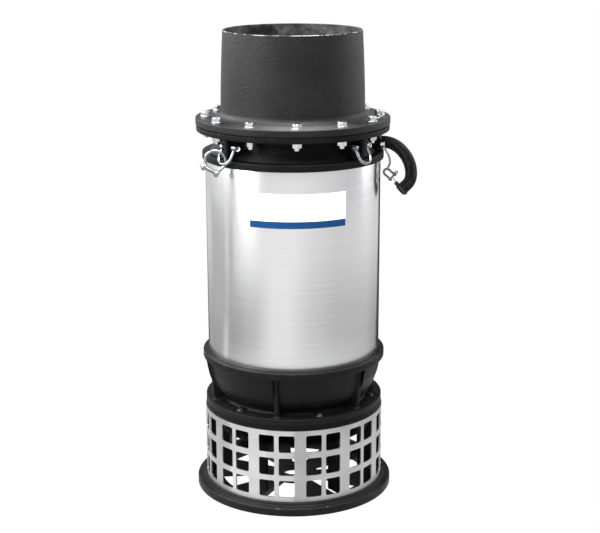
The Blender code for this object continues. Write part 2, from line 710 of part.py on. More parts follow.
def pin_mesh(half_width, rod_radius, steel):
    """A pin along X, with a flat head at its +X end."""
    size = 2 * rod_radius / SHACKLE_ROD
    outside = half_width + size * EYE_THICKNESS / 2
    ends = ((-outside - size * PIN_END, 0, 0), (outside + size * PIN_HEAD / 2, 0, 0))
    pin = rod("pin_stock", size * PIN_RADIUS, *ends, steel, 10)
    head_ends = ((outside + GAP, 0, 0), (outside + size * PIN_HEAD, 0, 0))
    combine(pin, rod("pin_head", size * PIN_HEAD_RADIUS, *head_ends, steel, 12), "UNION")
    return settled(pin)


def place_mesh(name, mesh, matrix):
    item = bpy.data.objects.new(name, mesh)
    item.matrix_world = matrix
    bpy.context.scene.collection.objects.link(item)
    return item


def lug_shackles():
    """One shackle through each lifting lug, leaning out over the collar."""
    lean = math.radians(SHACKLE_LEAN_DEG)
    steel = galvanised("shackle_zinc")
    radius = SHACKLE_ROD / 2
    bow = bow_mesh(SHACKLE_HALF_WIDTH, SHACKLE_HALF_WIDTH, SHACKLE_LENGTH, radius, steel)
    pin = pin_mesh(SHACKLE_HALF_WIDTH, radius, steel)
    for angle, place in zip(LUG_ANGLES, LUG_PLACES):
        outward = radial(angle)
        upward = Vector((0, 0, math.cos(lean))) - outward * math.sin(lean)
        width = tangent(angle)
        normal = upward.cross(width)
        origin = outward * PIN_CIRCLE + Vector((0, 0, PIN_HEIGHT))
        matrix = axes_matrix(width, normal, upward, origin)
        place_mesh(f"shackle_{place}", bow, matrix)
        place_mesh(f"shackle_pin_{place}", pin, matrix)


def linked_shackle():
    """A second shackle, hooked upside down through the front left one."""
    tilt = math.radians(LINK_TILT_DEG)
    level = tangent(LINK_YAW_DEG)
    vertical = Vector((0, 0, 1))
    width = level * math.cos(tilt) - vertical * math.sin(tilt)
    downward = -level * math.sin(tilt) - vertical * math.cos(tilt)
    matrix = axes_matrix(width, downward.cross(width), downward, LINK_PIN_CENTRE)
    steel = galvanised("linked_shackle_zinc")
    radius = SHACKLE_ROD / 2
    bow = bow_mesh(LINK_HALF_WIDTH, LINK_BOW_RADIUS, LINK_LENGTH, radius, steel)
    place_mesh("linked_shackle", bow, matrix)
    place_mesh("linked_shackle_pin", pin_mesh(LINK_HALF_WIDTH, radius, steel), matrix)


def smooth_points(route, count):
    """Evenly spaced points on a smooth curve through the route."""
    route = [Vector(point) for point in route]
    padded = [2 * route[0] - route[1]] + route + [2 * route[-1] - route[-2]]
    fine = []
    for p0, p1, p2, p3 in zip(padded, padded[1:], padded[2:], padded[3:]):
        for step in range(16):
            t = step / 16
            fine.append(0.5 * (2 * p1 + (p2 - p0) * t + (2 * p0 - 5 * p1 + 4 * p2 - p3) * t ** 2
                               + (3 * p1 - p0 - 3 * p2 + p3) * t ** 3))
    fine.append(route[-1])
    lengths = [0.0]
    for a, b in zip(fine, fine[1:]):
        lengths.append(lengths[-1] + (b - a).length)
    points = []
    for number in range(count):
        target = lengths[-1] * number / (count - 1)
        place = max(i for i, length in enumerate(lengths[:-1]) if length <= target + 1e-12)
        share = (target - lengths[place]) / (lengths[place + 1] - lengths[place])
        points.append(fine[place].lerp(fine[place + 1], min(share, 1.0)))
    return points


def tube(name, points, diameter, resolution, material):
    data = bpy.data.curves.new(name, "CURVE")
    data.dimensions = "3D"
    data.bevel_depth = diameter / 2
    data.bevel_resolution = resolution
    data.use_fill_caps = True
    data.render_resolution_u = 0
    spline = data.splines.new("POLY")
    spline.points.add(len(points) - 1)
    for target, point in zip(spline.points, points):
        target.co = (*point, 1.0)
    data.materials.append(material)
    item = bpy.data.objects.new(name, data)
    bpy.context.scene.collection.objects.link(item)
    return item


def cable_points():
    return smooth_points([(x, 0.0, z) for x, z in CABLE_ROUTE], CABLE_POINTS)


def cable_and_gland():
    tube("power_cable", cable_points(), CABLE_DIAMETER, 3, rubber("cable_sheath"))
    hole = CABLE_DIAMETER / 2 + 2.5 * GAP
    place = Matrix.Translation((0, 0, CABLE_HEIGHT)) @ Matrix.Rotation(math.radians(90.0), 4, "Y")
    bush = [
        (hole, BOSS_FACE + GAP), (hole, CLAMP_INNER_FACE - GAP),
        (BUSH_RADIUS, CLAMP_INNER_FACE - GAP), (BUSH_RADIUS, BOSS_FACE + GAP),
    ]
    ring = turned_mesh(bush, steps=24)
    bmesh.ops.transform(ring, matrix=place, verts=ring.verts)
    link_object("gland_bush", ring, rubber("bush_rubber"))
    oval = [
        *arc((0.0, 0.0), CLAMP_MIDDLE_RADIUS, 60.0, 120.0, 4),
        *arc((-CLAMP_LOBE_REACH, 0.0), CLAMP_LOBE_RADIUS, 130.0, 230.0, 5),
        *arc((0.0, 0.0), CLAMP_MIDDLE_RADIUS, 240.0, 300.0, 4),
        *arc((CLAMP_LOBE_REACH, 0.0), CLAMP_LOBE_RADIUS, -50.0, 50.0, 5),
    ]
    middle = CLAMP_INNER_FACE + CLAMP_THICKNESS / 2
    matrix = axes_matrix(Vector((0, 1, 0)), Vector((-1, 0, 0)), Vector((0, 0, 1)),
                         (middle, 0.0, CABLE_HEIGHT))
    steel = stainless("clamp_steel")
    clamp = link_object("gland_clamp", slab_mesh(oval, CLAMP_THICKNESS, matrix), steel)
    ends = ((CLAMP_INNER_FACE - 0.005, 0, CABLE_HEIGHT), (CLAMP_INNER_FACE + 0.010, 0, CABLE_HEIGHT))
    combine(clamp, rod("clamp_hole", hole, *ends, steel, 24), "DIFFERENCE")


def cable_tie():
    points = cable_points()
    end = points[-1]
    along = (points[-2] - end).normalized()
    centre = end + along * TIE_PLACE
    inner = CABLE_DIAMETER / 2 + TIE_PLAY
    outer = inner + TIE_THICKNESS
    half_width = TIE_WIDTH / 2
    outline = [(inner, half_width), (outer, half_width), (outer, -half_width), (inner, -half_width)]
    side = Vector((0, 1, 0))
    matrix = axes_matrix(side.cross(along), side, along, centre)
    ring = turned_mesh(outline, steps=16)
    bmesh.ops.transform(ring, matrix=matrix, verts=ring.verts)
    plastic = rubber("tie_nylon")
    tie = link_object("cable_tie", ring, plastic)
    head_matrix = matrix @ Matrix.Translation((-inner - TIE_HEAD_REACH, 0, 0))
    head = link_object("tie_head_stock", slab_mesh(TIE_HEAD, TIE_HEAD_WIDTH, head_matrix), plastic)
    combine(tie, head, "UNION")
    start = head_matrix.translation
    pin = Vector(SMALL_PIN_CENTRE)
    pin.y = start.y
    reach = (pin - start).length - SMALL_PIN_RADIUS - GAP - SMALL_ROD * PIN_RADIUS / SHACKLE_ROD
    toward = (pin - start).normalized()
    half = STRAP_THICKNESS / 2
    strap = [(-half, 0.0), (half, 0.0), (half, reach), (-half, reach)]
    strap_matrix = axes_matrix(side.cross(toward), side, toward, start)
    stock = link_object("tie_strap_stock", slab_mesh(strap, STRAP_WIDTH, strap_matrix), plastic)
    combine(tie, stock, "UNION")


def wire_and_small_shackle():
    """The support wire of the cable, with the small shackle at its lower end."""
    zinc = galvanised("wire_zinc")
    tube("support_wire", smooth_points(WIRE_ROUTE, WIRE_POINTS), WIRE_DIAMETER, 2, zinc)
    tilt = math.radians(SMALL_TILT_DEG)
    downward = Vector((math.cos(tilt), 0.0, -math.sin(tilt)))
    width = Vector((math.sin(tilt), 0.0, math.cos(tilt)))
    matrix = axes_matrix(width, (-downward).cross(width), -downward, SMALL_PIN_CENTRE)
    upside = matrix @ Matrix.Rotation(math.pi, 4, "X")
    radius = SMALL_ROD / 2
    bow = bow_mesh(SMALL_HALF_WIDTH, SMALL_HALF_WIDTH, SMALL_LENGTH, radius, zinc)
    place_mesh("small_shackle", bow, upside)
    place_mesh("small_shackle_pin", pin_mesh(SMALL_HALF_WIDTH, radius, zinc), upside)


def build():
    clear_scene()
    discharge_spigot()
    flange_gasket()
    top_casing()
    motor_shell()
    bottom_casing()
    suction_casting()
    base_ring()
    strainer()
    propeller()
    shaft()
    diffuser()
    motor_housing()
    motor_head()
    lug_shackles()
    linked_shackle()
    cable_and_gland()
    cable_tie()
    wire_and_small_shackle()


build()
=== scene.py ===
"""Looks of a submersible axial flow pump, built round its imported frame, from the base ring upwards."""
import math

import bmesh
import bpy
from mathutils import Matrix, Vector


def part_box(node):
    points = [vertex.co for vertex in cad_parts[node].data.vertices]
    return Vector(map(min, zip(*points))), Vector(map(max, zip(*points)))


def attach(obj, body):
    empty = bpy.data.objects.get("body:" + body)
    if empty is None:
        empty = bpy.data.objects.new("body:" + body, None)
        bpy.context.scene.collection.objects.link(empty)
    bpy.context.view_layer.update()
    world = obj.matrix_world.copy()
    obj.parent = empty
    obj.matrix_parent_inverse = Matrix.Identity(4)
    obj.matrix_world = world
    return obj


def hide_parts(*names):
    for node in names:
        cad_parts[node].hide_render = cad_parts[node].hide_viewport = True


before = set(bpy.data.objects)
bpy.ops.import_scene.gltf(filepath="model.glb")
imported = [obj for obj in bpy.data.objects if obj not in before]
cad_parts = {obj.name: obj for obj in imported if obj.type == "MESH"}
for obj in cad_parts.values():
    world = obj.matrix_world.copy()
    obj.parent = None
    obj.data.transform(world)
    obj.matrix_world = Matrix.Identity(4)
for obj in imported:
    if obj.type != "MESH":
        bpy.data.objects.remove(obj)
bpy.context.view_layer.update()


# Camera
# The photograph was taken from a little above the discharge flange, through a long lens.
def placed(name, data):
    """A new object in the scene with that data."""
    made = bpy.data.objects.new(name, data)
    bpy.context.scene.collection.objects.link(made)
    return made


CAMERA_DISTANCE, CAMERA_HEIGHT = 3.1076, 1.3143
AZIMUTH_DEG, ASIDE_DEG, DOWN_DEG, ROLL_DEG = -1.5, 0.276, 14.509, -0.11
camera = placed("camera", bpy.data.cameras.new("camera"))
camera.data.sensor_width = 36.0
camera.data.lens = 85.28
azimuth = math.radians(AZIMUTH_DEG)
camera.location = (CAMERA_DISTANCE * math.sin(azimuth), -CAMERA_DISTANCE * math.cos(azimuth), CAMERA_HEIGHT)
heading = Matrix.Rotation(azimuth - math.radians(ASIDE_DEG), 3, "Z")
pitch = Matrix.Rotation(math.radians(90.0 - DOWN_DEG), 3, "X")
roll = Matrix.Rotation(math.radians(ROLL_DEG), 3, "Z")
camera.rotation_euler = (heading @ pitch @ roll).to_euler()
bpy.context.scene.camera = camera
bpy.context.scene.view_settings.view_transform = "Standard"


# Studio
# A white table that glows, as for catalogue pictures, in a pale room. Two large soft lights on
# the left, a small one on the right and one overhead draw the highlights. Grey cards on the left
# and black felt behind on both sides shade the shell's sides, as dark edges set off bright metal.
# Like the lights, the cards, felts and light sheet act on the pump and aren't seen themselves.
def linear(code):
    """A linear colour from an sRGB hex code."""
    parts = [int(code[i:i + 2], 16) / 255 for i in (1, 3, 5)]
    return tuple(c / 12.92 if c <= 0.04045 else ((c + 0.055) / 1.055) ** 2.4 for c in parts) + (1.0,)


def feed(node, inputs):
    """Fills a node's inputs with values, with sockets to link from, or with nodes, for their first output."""
    for key, value in inputs.items():
        if isinstance(value, bpy.types.Node):
            value = value.outputs[0]
        if isinstance(value, bpy.types.NodeSocket):
            node.id_data.links.new(value, node.inputs[key])
        else:
            node.inputs[key].default_value = value


def add(tree, kind, inputs=None, **settings):
    """A new node with its settings and inputs."""
    made = tree.nodes.new(kind)
    for key, value in settings.items():
        setattr(made, key, value)
    feed(made, inputs or {})
    return made


def stops(ramp, colours):
    """The colour ramp, filled with (place, colour) pairs."""
    elements = ramp.color_ramp.elements
    while len(elements) < len(colours):
        elements.new(0.5)
    for element, (place, colour) in zip(elements, colours):
        element.position = place
        element.color = colour
    return ramp


def greys(ramp, pairs):
    """The colour ramp, filled with (degrees from the front, brightness) pairs."""
    return stops(ramp, [(0.5 + turn / 360, (value, value, value, 1.0)) for turn, value in pairs])


def round_axis(tree, direction):
    """Where a direction points round the vertical axis: 0 and 1 at the back, 0.5 at the front."""
    parts = add(tree, "ShaderNodeSeparateXYZ", {0: direction}).outputs
    ahead = add(tree, "ShaderNodeMath", {0: parts["Y"], 1: -1.0}, operation="MULTIPLY")
    turn = add(tree, "ShaderNodeMath", {0: parts["X"], 1: ahead}, operation="ARCTAN2")
    return add(tree, "ShaderNodeMapRange", {0: turn, 1: -math.pi, 2: math.pi})


def finish(name, inputs=None):
    """A new material, with its node tree and its shader, whose inputs may come with it."""
    made = bpy.data.materials.new(name)
    made.use_nodes = True
    shader = made.node_tree.nodes["Principled BSDF"]
    feed(shader, inputs or {})
    return made, made.node_tree, shader


world = bpy.data.worlds.new("studio")
bpy.context.scene.world = world
world.use_nodes = True
sky = world.node_tree
ray = add(sky, "ShaderNodeTexCoord").outputs["Generated"]
wall_greys = ((0.0, "#f0f0f0"), (0.16, "#f0f0f0"), (0.25, "#d0d0d2"), (0.38, "#f4f4f4"), (0.50, "#ffffff"),
              (0.62, "#f4f4f4"), (0.72, "#e0e0e2"), (0.84, "#ffffff"), (1.0, "#f0f0f0"))
walls = stops(add(sky, "ShaderNodeValToRGB", {0: round_axis(sky, ray)}),
              [(place, linear(code)) for place, code in wall_greys])
height = add(sky, "ShaderNodeSeparateXYZ", {0: ray}).outputs["Z"]
up = add(sky, "ShaderNodeMapRange", {0: height, 1: 0.15, 2: 1.0})
room = add(sky, "ShaderNodeMix", {"Factor": up, 6: walls, 7: linear("#909092")}, data_type="RGBA")
feed(sky.nodes["Background"], {"Color": room.outputs[2], "Strength": 1.0})


def softbox(name, azimuth_deg, distance, middle, width, tall, power):
    """A soft light that faces the pump's axis, at that many degrees from the front."""
    lamp = placed(name, bpy.data.lights.new(name, "AREA"))
    lamp.data.shape = "RECTANGLE"
    lamp.data.size = width
    lamp.data.size_y = tall
    lamp.data.energy = power
    turn = math.radians(azimuth_deg)
    lamp.location = (distance * math.sin(turn), -distance * math.cos(turn), middle)
    aim = Vector((0.0, 0.0, 0.55)) - lamp.location
    lamp.rotation_euler = aim.to_track_quat("-Z", "Y").to_euler()


softbox("key_light", -64.0, 2.4, 1.90, 1.25, 1.7, 92.0)
softbox("left_light", -112.0, 3.0, 2.10, 2.6, 1.6, 120.0)
softbox("top_light", 0.0, 0.7, 2.7, 2.2, 1.6, 170.0)
softbox("right_light", 108.0, 2.4, 1.42, 0.9, 0.9, 14.0)

# The table glows evenly. A sheet of light just over it acts only on the pump: its brightness
# varies round the pump, most at the left front, and the bright metal mirrors it.
SHEET_GLOW = 1.14
table_white = finish("glowing_table", {"Base Color": linear("#202020"), "Specular IOR Level": 0.0,
                                       "Emission Color": linear("#ffffff"), "Emission Strength": 1.0})[0]
sheet_light, tree, shader = finish("light_sheet", {"Base Color": linear("#202020"), "Specular IOR Level": 0.0,
                                                   "Emission Strength": SHEET_GLOW})
spot = add(tree, "ShaderNodeTexCoord").outputs["Object"]
away = add(tree, "ShaderNodeVectorMath", {0: spot}, operation="LENGTH").outputs["Value"]
bearing = round_axis(tree, spot)
inner_glow = greys(add(tree, "ShaderNodeValToRGB", {0: bearing}), (
    (-130, 0.34), (-106, 0.34), (-99, 0.80), (-92, 0.30), (-76, 0.32), (-50, 0.46), (-28, 0.86), (-10, 0.88),
    (16, 0.64), (49, 0.50), (105, 0.48), (130, 0.34)))
outer_glow = greys(add(tree, "ShaderNodeValToRGB", {0: bearing}), (
    (-130, 0.66), (-90, 0.74), (-70, 0.92), (-28, 0.96), (0, 0.96), (22, 0.82), (50, 0.75), (110, 0.82),
    (130, 0.72)))
outward = add(tree, "ShaderNodeMapRange", {0: away, 1: 1.1, 2: 2.8})
varied = add(tree, "ShaderNodeMix", {"Factor": outward, 6: inner_glow, 7: outer_glow}, data_type="RGBA")
past_pump = add(tree, "ShaderNodeMapRange", {0: away, 1: 0.55, 2: 0.75})
even = (1.0 / SHEET_GLOW, 1.0 / SHEET_GLOW, 1.0 / SHEET_GLOW, 1.0)
glowing = add(tree, "ShaderNodeMix", {"Factor": past_pump, 6: even, 7: varied.outputs[2]}, data_type="RGBA")
feed(shader, {"Emission Color": glowing.outputs[2]})
grey_card = finish("grey_card", {"Base Color": linear("#202020"), "Emission Color": linear("#bcbcbc"),
                                 "Emission Strength": 1.0})[0]
black_felt = finish("black_felt", {"Base Color": linear("#0a0a0a"), "Roughness": 1.0, "Specular IOR Level": 0.0})[0]


def disc(z):
    """A broad round sheet, centred under the pump."""
    sheet = bmesh.new()
    bmesh.ops.create_circle(sheet, cap_ends=True, segments=96, radius=30.0,
                            matrix=Matrix.Translation((0.0, 0.0, z)))
    return sheet


def standing_card(near, far, tall):
    """An upright sheet between two points of the table."""
    sheet = bmesh.new()
    corners = ((*near, 0.0), (*far, 0.0), (*far, tall), (*near, tall))
    sheet.faces.new([sheet.verts.new(corner) for corner in corners])
    return sheet


def written(name, mesh):
    """Plain mesh data from working geometry, which is freed."""
    data = bpy.data.meshes.new(name)
    mesh.to_mesh(data)
    mesh.free()
    return data


for name, mesh, material in (("studio_table", disc(0.0), table_white), ("light_sheet", disc(0.0005), sheet_light),
                             ("front_card", standing_card((-1.13, -0.20), (-1.09, -0.04), 0.60), grey_card),
                             ("back_card", standing_card((-1.065, 0.07), (-0.91, 0.71), 0.60), grey_card),
                             ("right_felt", standing_card((0.225, 0.50), (0.50, 0.50), 0.70), black_felt),
                             ("left_felt", standing_card((-0.34, 0.50), (-0.23, 0.50), 0.70), black_felt)):
    surface = placed(name, written(name, mesh))
    surface.data.materials.append(material)
    surface.visible_camera = name == "studio_table"


# Power cable
# A heavy rubber cable, 27 mm thick, cut off just past its first bend. It leaves the gland level
# and bends down under its own weight. A fine braid shows through its sheath.
UP = Vector((0.0, 0.0, 1.0))


def smooth_points(route, spacing):
    """Evenly spaced points on one smooth curve through the route."""
    route = [Vector(point) for point in route]
    padded = [2 * route[0] - route[1]] + route + [2 * route[-1] - route[-2]]
    fine = []
    for p0, p1, p2, p3 in zip(padded, padded[1:], padded[2:], padded[3:]):
        for step in range(16):
            t = step / 16
            fine.append(0.5 * (2 * p1 + (p2 - p0) * t + (2 * p0 - 5 * p1 + 4 * p2 - p3) * t ** 2
                               + (3 * p1 - p0 - 3 * p2 + p3) * t ** 3))
    fine.append(route[-1])
    lengths = [0.0]
    for a, b in zip(fine, fine[1:]):
        lengths.append(lengths[-1] + (b - a).length)
    count = max(2, round(lengths[-1] / spacing))
    points, place = [], 0
    for number in range(count + 1):
        target = lengths[-1] * number / count
        while place < len(fine) - 2 and lengths[place + 1] < target:
            place += 1
        share = (target - lengths[place]) / (lengths[place + 1] - lengths[place])
        points.append(fine[place].lerp(fine[place + 1], min(share, 1.0)))
    return points


def swept(mesh, points, radii, sides, normal=UP):
    """A round bar along points, with a UV map in metres: round it, then along it."""
    uv = mesh.loops.layers.uv.verify()
    rings, along, side = [], 0.0, None
    for place, point in enumerate(points):
        before = points[max(place - 1, 0)]
        after = points[min(place + 1, len(points) - 1)]
        way = (after - before).normalized()
        side = side or Vector(normal).cross(way)
        side = (side - way * side.dot(way)).normalized()
        other = way.cross(side)
        ring = []
        for step in range(sides):
            angle = math.tau * step / sides
            spoke = side * math.cos(angle) + other * math.sin(angle)
            ring.append(mesh.verts.new(point + spoke * radii[place]))
        along += (point - before).length
        rings.append((ring, along))
    girth = math.tau * max(radii) / sides
    for (ring, start), (following, end) in zip(rings, rings[1:]):
        for step in range(sides):
            after = (step + 1) % sides
            face = mesh.faces.new((ring[step], ring[after], following[after], following[step]))
            places = ((step, start), (step + 1, start), (step + 1, end), (step, end))
            for loop, (turn, run) in zip(face.loops, places):
                loop[uv].uv = (turn * girth, run)
    mesh.faces.new(rings[0][0][::-1])
    mesh.faces.new(rings[-1][0])
    return mesh


def piece(name, mesh, material, sharp=35.0, body="pump", replaces=()):
    """An object from closed shapes that are already in place, riding on its body."""
    bmesh.ops.recalc_face_normals(mesh, faces=mesh.faces)
    made = placed(name, written(name, mesh))
    made.data.shade_smooth()
    made.data.set_sharp_from_angle(angle=math.radians(sharp))
    made.data.materials.append(material)
    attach(made, body)
    if replaces:
        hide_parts(*replaces)
    return made


CABLE_DIAMETER = 0.0270
CABLE_ROUTE = [
    (0.1863, 0.0, 0.7935), (0.1960, 0.0, 0.7935), (0.2065, 0.0, 0.7927), (0.2200, 0.0, 0.7888),
    (0.2330, 0.0, 0.7810), (0.2440, 0.0, 0.7703), (0.2535, 0.0, 0.7566), (0.2600, 0.0, 0.7412),
    (0.2628, 0.0, 0.7248), (0.2618, 0.0, 0.7105), (0.2568, 0.0, 0.7000), (0.2485, 0.0, 0.6915),
    (0.2405, 0.0, 0.6840), (0.2380, 0.0, 0.6816),
]
# A wave texture at scale 1 has this many bands to the metre.
WAVE_BANDS = 3.2
BRAID_PITCH = 0.0024

# Chloroprene rubber sheath: satin black, painted a little grey on the raised braid as a painted highlight.
# The braid's real pitch of about 1 mm would be finer than a pixel, so it is drawn at 2.4 mm.
sheath, tree, shader = finish("braided_rubber_sheath", {"Roughness": 0.27, "Specular IOR Level": 0.13})
place = add(tree, "ShaderNodeUVMap")
strands = []
for slant in (50.0, -50.0):
    turned = add(tree, "ShaderNodeMapping", {0: place, "Rotation": (0.0, 0.0, math.radians(slant))})
    wave = add(tree, "ShaderNodeTexWave", {0: turned, "Scale": 1.0 / BRAID_PITCH / WAVE_BANDS}, bands_direction="X")
    strands.append(wave.outputs["Fac"])
braid = add(tree, "ShaderNodeMath", {0: strands[0], 1: strands[1]}, operation="MAXIMUM")
lift = add(tree, "ShaderNodeBump", {"Height": braid, "Strength": 0.9, "Distance": 0.0010})
# Painted highlight: the raised braid is a little lighter than the hollows.
skin = stops(add(tree, "ShaderNodeValToRGB", {0: braid}), ((0.35, linear("#030303")), (1.0, linear("#0b0b0c"))))
feed(shader, {"Base Color": skin, "Normal": lift})

cable_points = smooth_points(CABLE_ROUTE, 0.0022)
cable_radii = [CABLE_DIAMETER / 2] * len(cable_points)
for place, share in ((-1, 0.84), (-2, 0.95), (-3, 0.99)):
    cable_radii[place] *= share
cable_mesh = swept(bmesh.new(), cable_points, cable_radii, 48)
power_cable = piece("power_cable_sheath", cable_mesh, sheath, replaces=["power_cable"])


# Support wire
# A thin galvanised wire rope from the gland clamp, which holds the cable's tie through a small
# shackle.
WIRE_DIAMETER = 0.0048
WIRE_ROUTE = [
    (0.1972, -0.0280, 0.7925), (0.1990, -0.0278, 0.7860), (0.2040, -0.0270, 0.7780),
    (0.2090, -0.0250, 0.7685), (0.2125, -0.0210, 0.7580), (0.2135, -0.0160, 0.7480),
    (0.2115, -0.0115, 0.7405), (0.2092, -0.0100, 0.7364),
]
STRAND_PITCH = 0.0025

# Galvanised steel wire rope: dull grey, and its strands show as slanting grooves 2.5 mm apart.
rope_steel, tree, shader = finish("galvanised_wire_rope", {"Metallic": 0.9, "Roughness": 0.38})
place = add(tree, "ShaderNodeUVMap")
turned = add(tree, "ShaderNodeMapping", {0: place, "Rotation": (0.0, 0.0, math.radians(35.0))})
wave = add(tree, "ShaderNodeTexWave", {0: turned, "Scale": 1.0 / STRAND_PITCH / WAVE_BANDS}, bands_direction="Y")
groove = wave.outputs["Fac"]
# The grooves between the strands are painted darker: painted shade in the grooves.
tint = stops(add(tree, "ShaderNodeValToRGB", {0: groove}), ((0.1, linear("#5a5b5c")), (0.8, linear("#c9cacc"))))
lift = add(tree, "ShaderNodeBump", {"Height": groove, "Strength": 0.7, "Distance": 0.0008})
feed(shader, {"Base Color": tint, "Normal": lift})

wire_points = smooth_points(WIRE_ROUTE, 0.0012)
wire_mesh = swept(bmesh.new(), wire_points, [WIRE_DIAMETER / 2] * len(wire_points), 20)
support_wire = piece("support_wire_rope", wire_mesh, rope_steel, replaces=["support_wire"])


# Base ring
# The pump stands on a heavy cast ring with a turned step, which the legs and the strainer stand on.
# Its floor has an eye in the middle and six openings between broad arms, all with soft corners.
def softened(corners, steps=4):
    """An outline from (radius, height, rounding) corners, with each rounding as an arc."""
    points = []
    for place, (r, z, rounding) in enumerate(corners):
        corner = Vector((r, z))
        if rounding <= 0.0:
            points.append((r, z))
            continue
        before = Vector(corners[place - 1][:2]) - corner
        after = Vector(corners[(place + 1) % len(corners)][:2]) - corner
        opening = before.angle(after)
        reach = min(rounding / math.tan(opening / 2), 0.49 * before.length, 0.49 * after.length)
        before.normalize()
        after.normalize()
        radius = reach * math.tan(opening / 2)
        middle = corner + (before + after).normalized() * (radius / math.sin(opening / 2))
        start, end = corner + before * reach - middle, corner + after * reach - middle
        for step in range(steps + 1):
            points.append(tuple(middle + start.lerp(end, step / steps).normalized() * radius))
    return points


def guarded(outline, worn, margin=0.0008):
    """The outline with a point close to either side of each worn edge, so that wear ends there."""
    points = []
    for first, second in zip(outline, outline[1:] + outline[:1]):
        start, end = Vector(first), Vector(second)
        points.append(first)
        for near, far in ((start, end), (end, start)):
            if (end - start).length > 3 * margin and any((near - Vector(w)).length < 0.004 for w in worn):
                points.append(tuple(near + (far - near).normalized() * margin))
    return points


def spun(mesh, outline, steps=192, matrix=Matrix(), worn=()):
    """Turns a closed (radius, height) outline about the vertical axis, with a UV map in metres.
    worn holds the (radius, height) places whose edge is rubbed down to bare metal."""
    outline = guarded(outline, worn)
    uv = mesh.loops.layers.uv.verify()
    wear = mesh.verts.layers.float.get("wear") or mesh.verts.layers.float.new("wear")
    runs = [0.0]
    for (r0, z0), (r1, z1) in zip(outline, outline[1:] + outline[:1]):
        runs.append(runs[-1] + math.hypot(r1 - r0, z1 - z0))
    rings = []
    for step in range(steps):
        angle = math.tau * step / steps
        ring = []
        for r, z in outline:
            if r < 1e-7 and step > 0:
                ring.append(rings[0][len(ring)])
                continue
            vert = mesh.verts.new(matrix @ Vector((r * math.sin(angle), -r * math.cos(angle), z)))
            vert[wear] = 1.0 if any(math.hypot(r - a, z - b) < 0.0015 for a, b in worn) else 0.0
            ring.append(vert)
        rings.append(ring)
    girth = max(r for r, z in outline) * math.tau / steps
    for step in range(steps):
        ring, following = rings[step], rings[(step + 1) % steps]
        for place in range(len(outline)):
            after = (place + 1) % len(outline)
            corners = [(ring[place], step, place), (following[place], step + 1, place),
                       (following[after], step + 1, place + 1), (ring[after], step, place + 1)]
            corners = [c for n, c in enumerate(corners) if c[0] not in [d[0] for d in corners[:n]]]
            if len(corners) < 3:
                continue
            face = mesh.faces.new([c[0] for c in corners])
            for loop, (_, turn, run) in zip(face.loops, corners):
                loop[uv].uv = (turn * girth, runs[run])
    return mesh


def banded(mesh, ring, following):
    """A band of faces between two closed rings of points."""
    for place in range(len(ring)):
        after = (place + 1) % len(ring)
        mesh.faces.new((ring[place], ring[after], following[after], following[place]))


def stacked(mesh, rings):
    """A closed solid from rings of points, one above the other."""
    for ring, following in zip(rings, rings[1:]):
        banded(mesh, ring, following)
    mesh.faces.new(rings[0][::-1])
    mesh.faces.new(rings[-1])


def applied(holder):
    """The mesh that an object has with its modifiers, as plain data."""
    bpy.context.view_layer.update()
    return bpy.data.meshes.new_from_object(holder.evaluated_get(bpy.context.evaluated_depsgraph_get()))


def carved(mesh, cutter):
    """The mesh less the closed shapes of the cutter."""
    holders = []
    for shape in (mesh, cutter):
        bmesh.ops.recalc_face_normals(shape, faces=shape.faces)
        holders.append(placed("carving", written("carving", shape)))
    cut = holders[0].modifiers.new("cut", "BOOLEAN")
    cut.operation = "DIFFERENCE"
    cut.solver = "EXACT"
    cut.object = holders[1]
    left = bmesh.new()
    left.from_mesh(applied(holders[0]))
    for holder in holders:
        bpy.data.objects.remove(holder)
    return left


def black_paint(name, dark, light, roughness, bare=0.0, shine=0.16):
    """Satin black air-drying paint on sand-cast iron. The casting's grain, drawn at 3.4 mm so that it
    shows, lifts the paint, which is cloudy in patches and rubbed to grey metal on worn edges."""
    made, tree, shader = finish(name, {"Specular IOR Level": shine})
    place = add(tree, "ShaderNodeTexCoord").outputs["Object"]
    grain, cloud, scuff = [
        add(tree, "ShaderNodeTexNoise", {"Vector": place, "Scale": 1.0 / size, "Detail": detail, "Roughness": rough})
        for size, detail, rough in ((0.0034, 3.0, 0.6), (0.060, 4.0, 0.55), (0.011, 3.0, 0.65))]
    patchy = add(tree, "ShaderNodeMath", {0: grain, 1: 0.35, 2: -0.175}, operation="MULTIPLY_ADD")
    mixed = add(tree, "ShaderNodeMath", {0: cloud, 1: patchy}, operation="ADD")
    colour = stops(add(tree, "ShaderNodeValToRGB", {0: mixed}), ((0.30, linear(dark)), (0.72, linear(light))))
    worn = add(tree, "ShaderNodeAttribute", attribute_name="wear").outputs["Fac"]
    patches = add(tree, "ShaderNodeMapRange", {0: scuff, 1: 0.62 - 0.3 * bare, 2: 0.72 - 0.3 * bare})
    rubbed = add(tree, "ShaderNodeMath", {0: worn, 1: patches}, operation="MULTIPLY")
    skin = add(tree, "ShaderNodeMix", {"Factor": rubbed, 6: colour, 7: linear("#9a9a99")}, data_type="RGBA")
    half = add(tree, "ShaderNodeMath", {0: rubbed, 1: 0.7}, operation="MULTIPLY")
    gloss = add(tree, "ShaderNodeMapRange", {0: cloud, 1: 0.3, 2: 0.7, 3: roughness - 0.05, 4: roughness + 0.06})
    lift = add(tree, "ShaderNodeBump", {"Height": grain, "Strength": 1.0, "Distance": 0.0011})
    feed(shader, {"Base Color": skin.outputs[2], "Metallic": half, "Roughness": gloss, "Normal": lift})
    return made


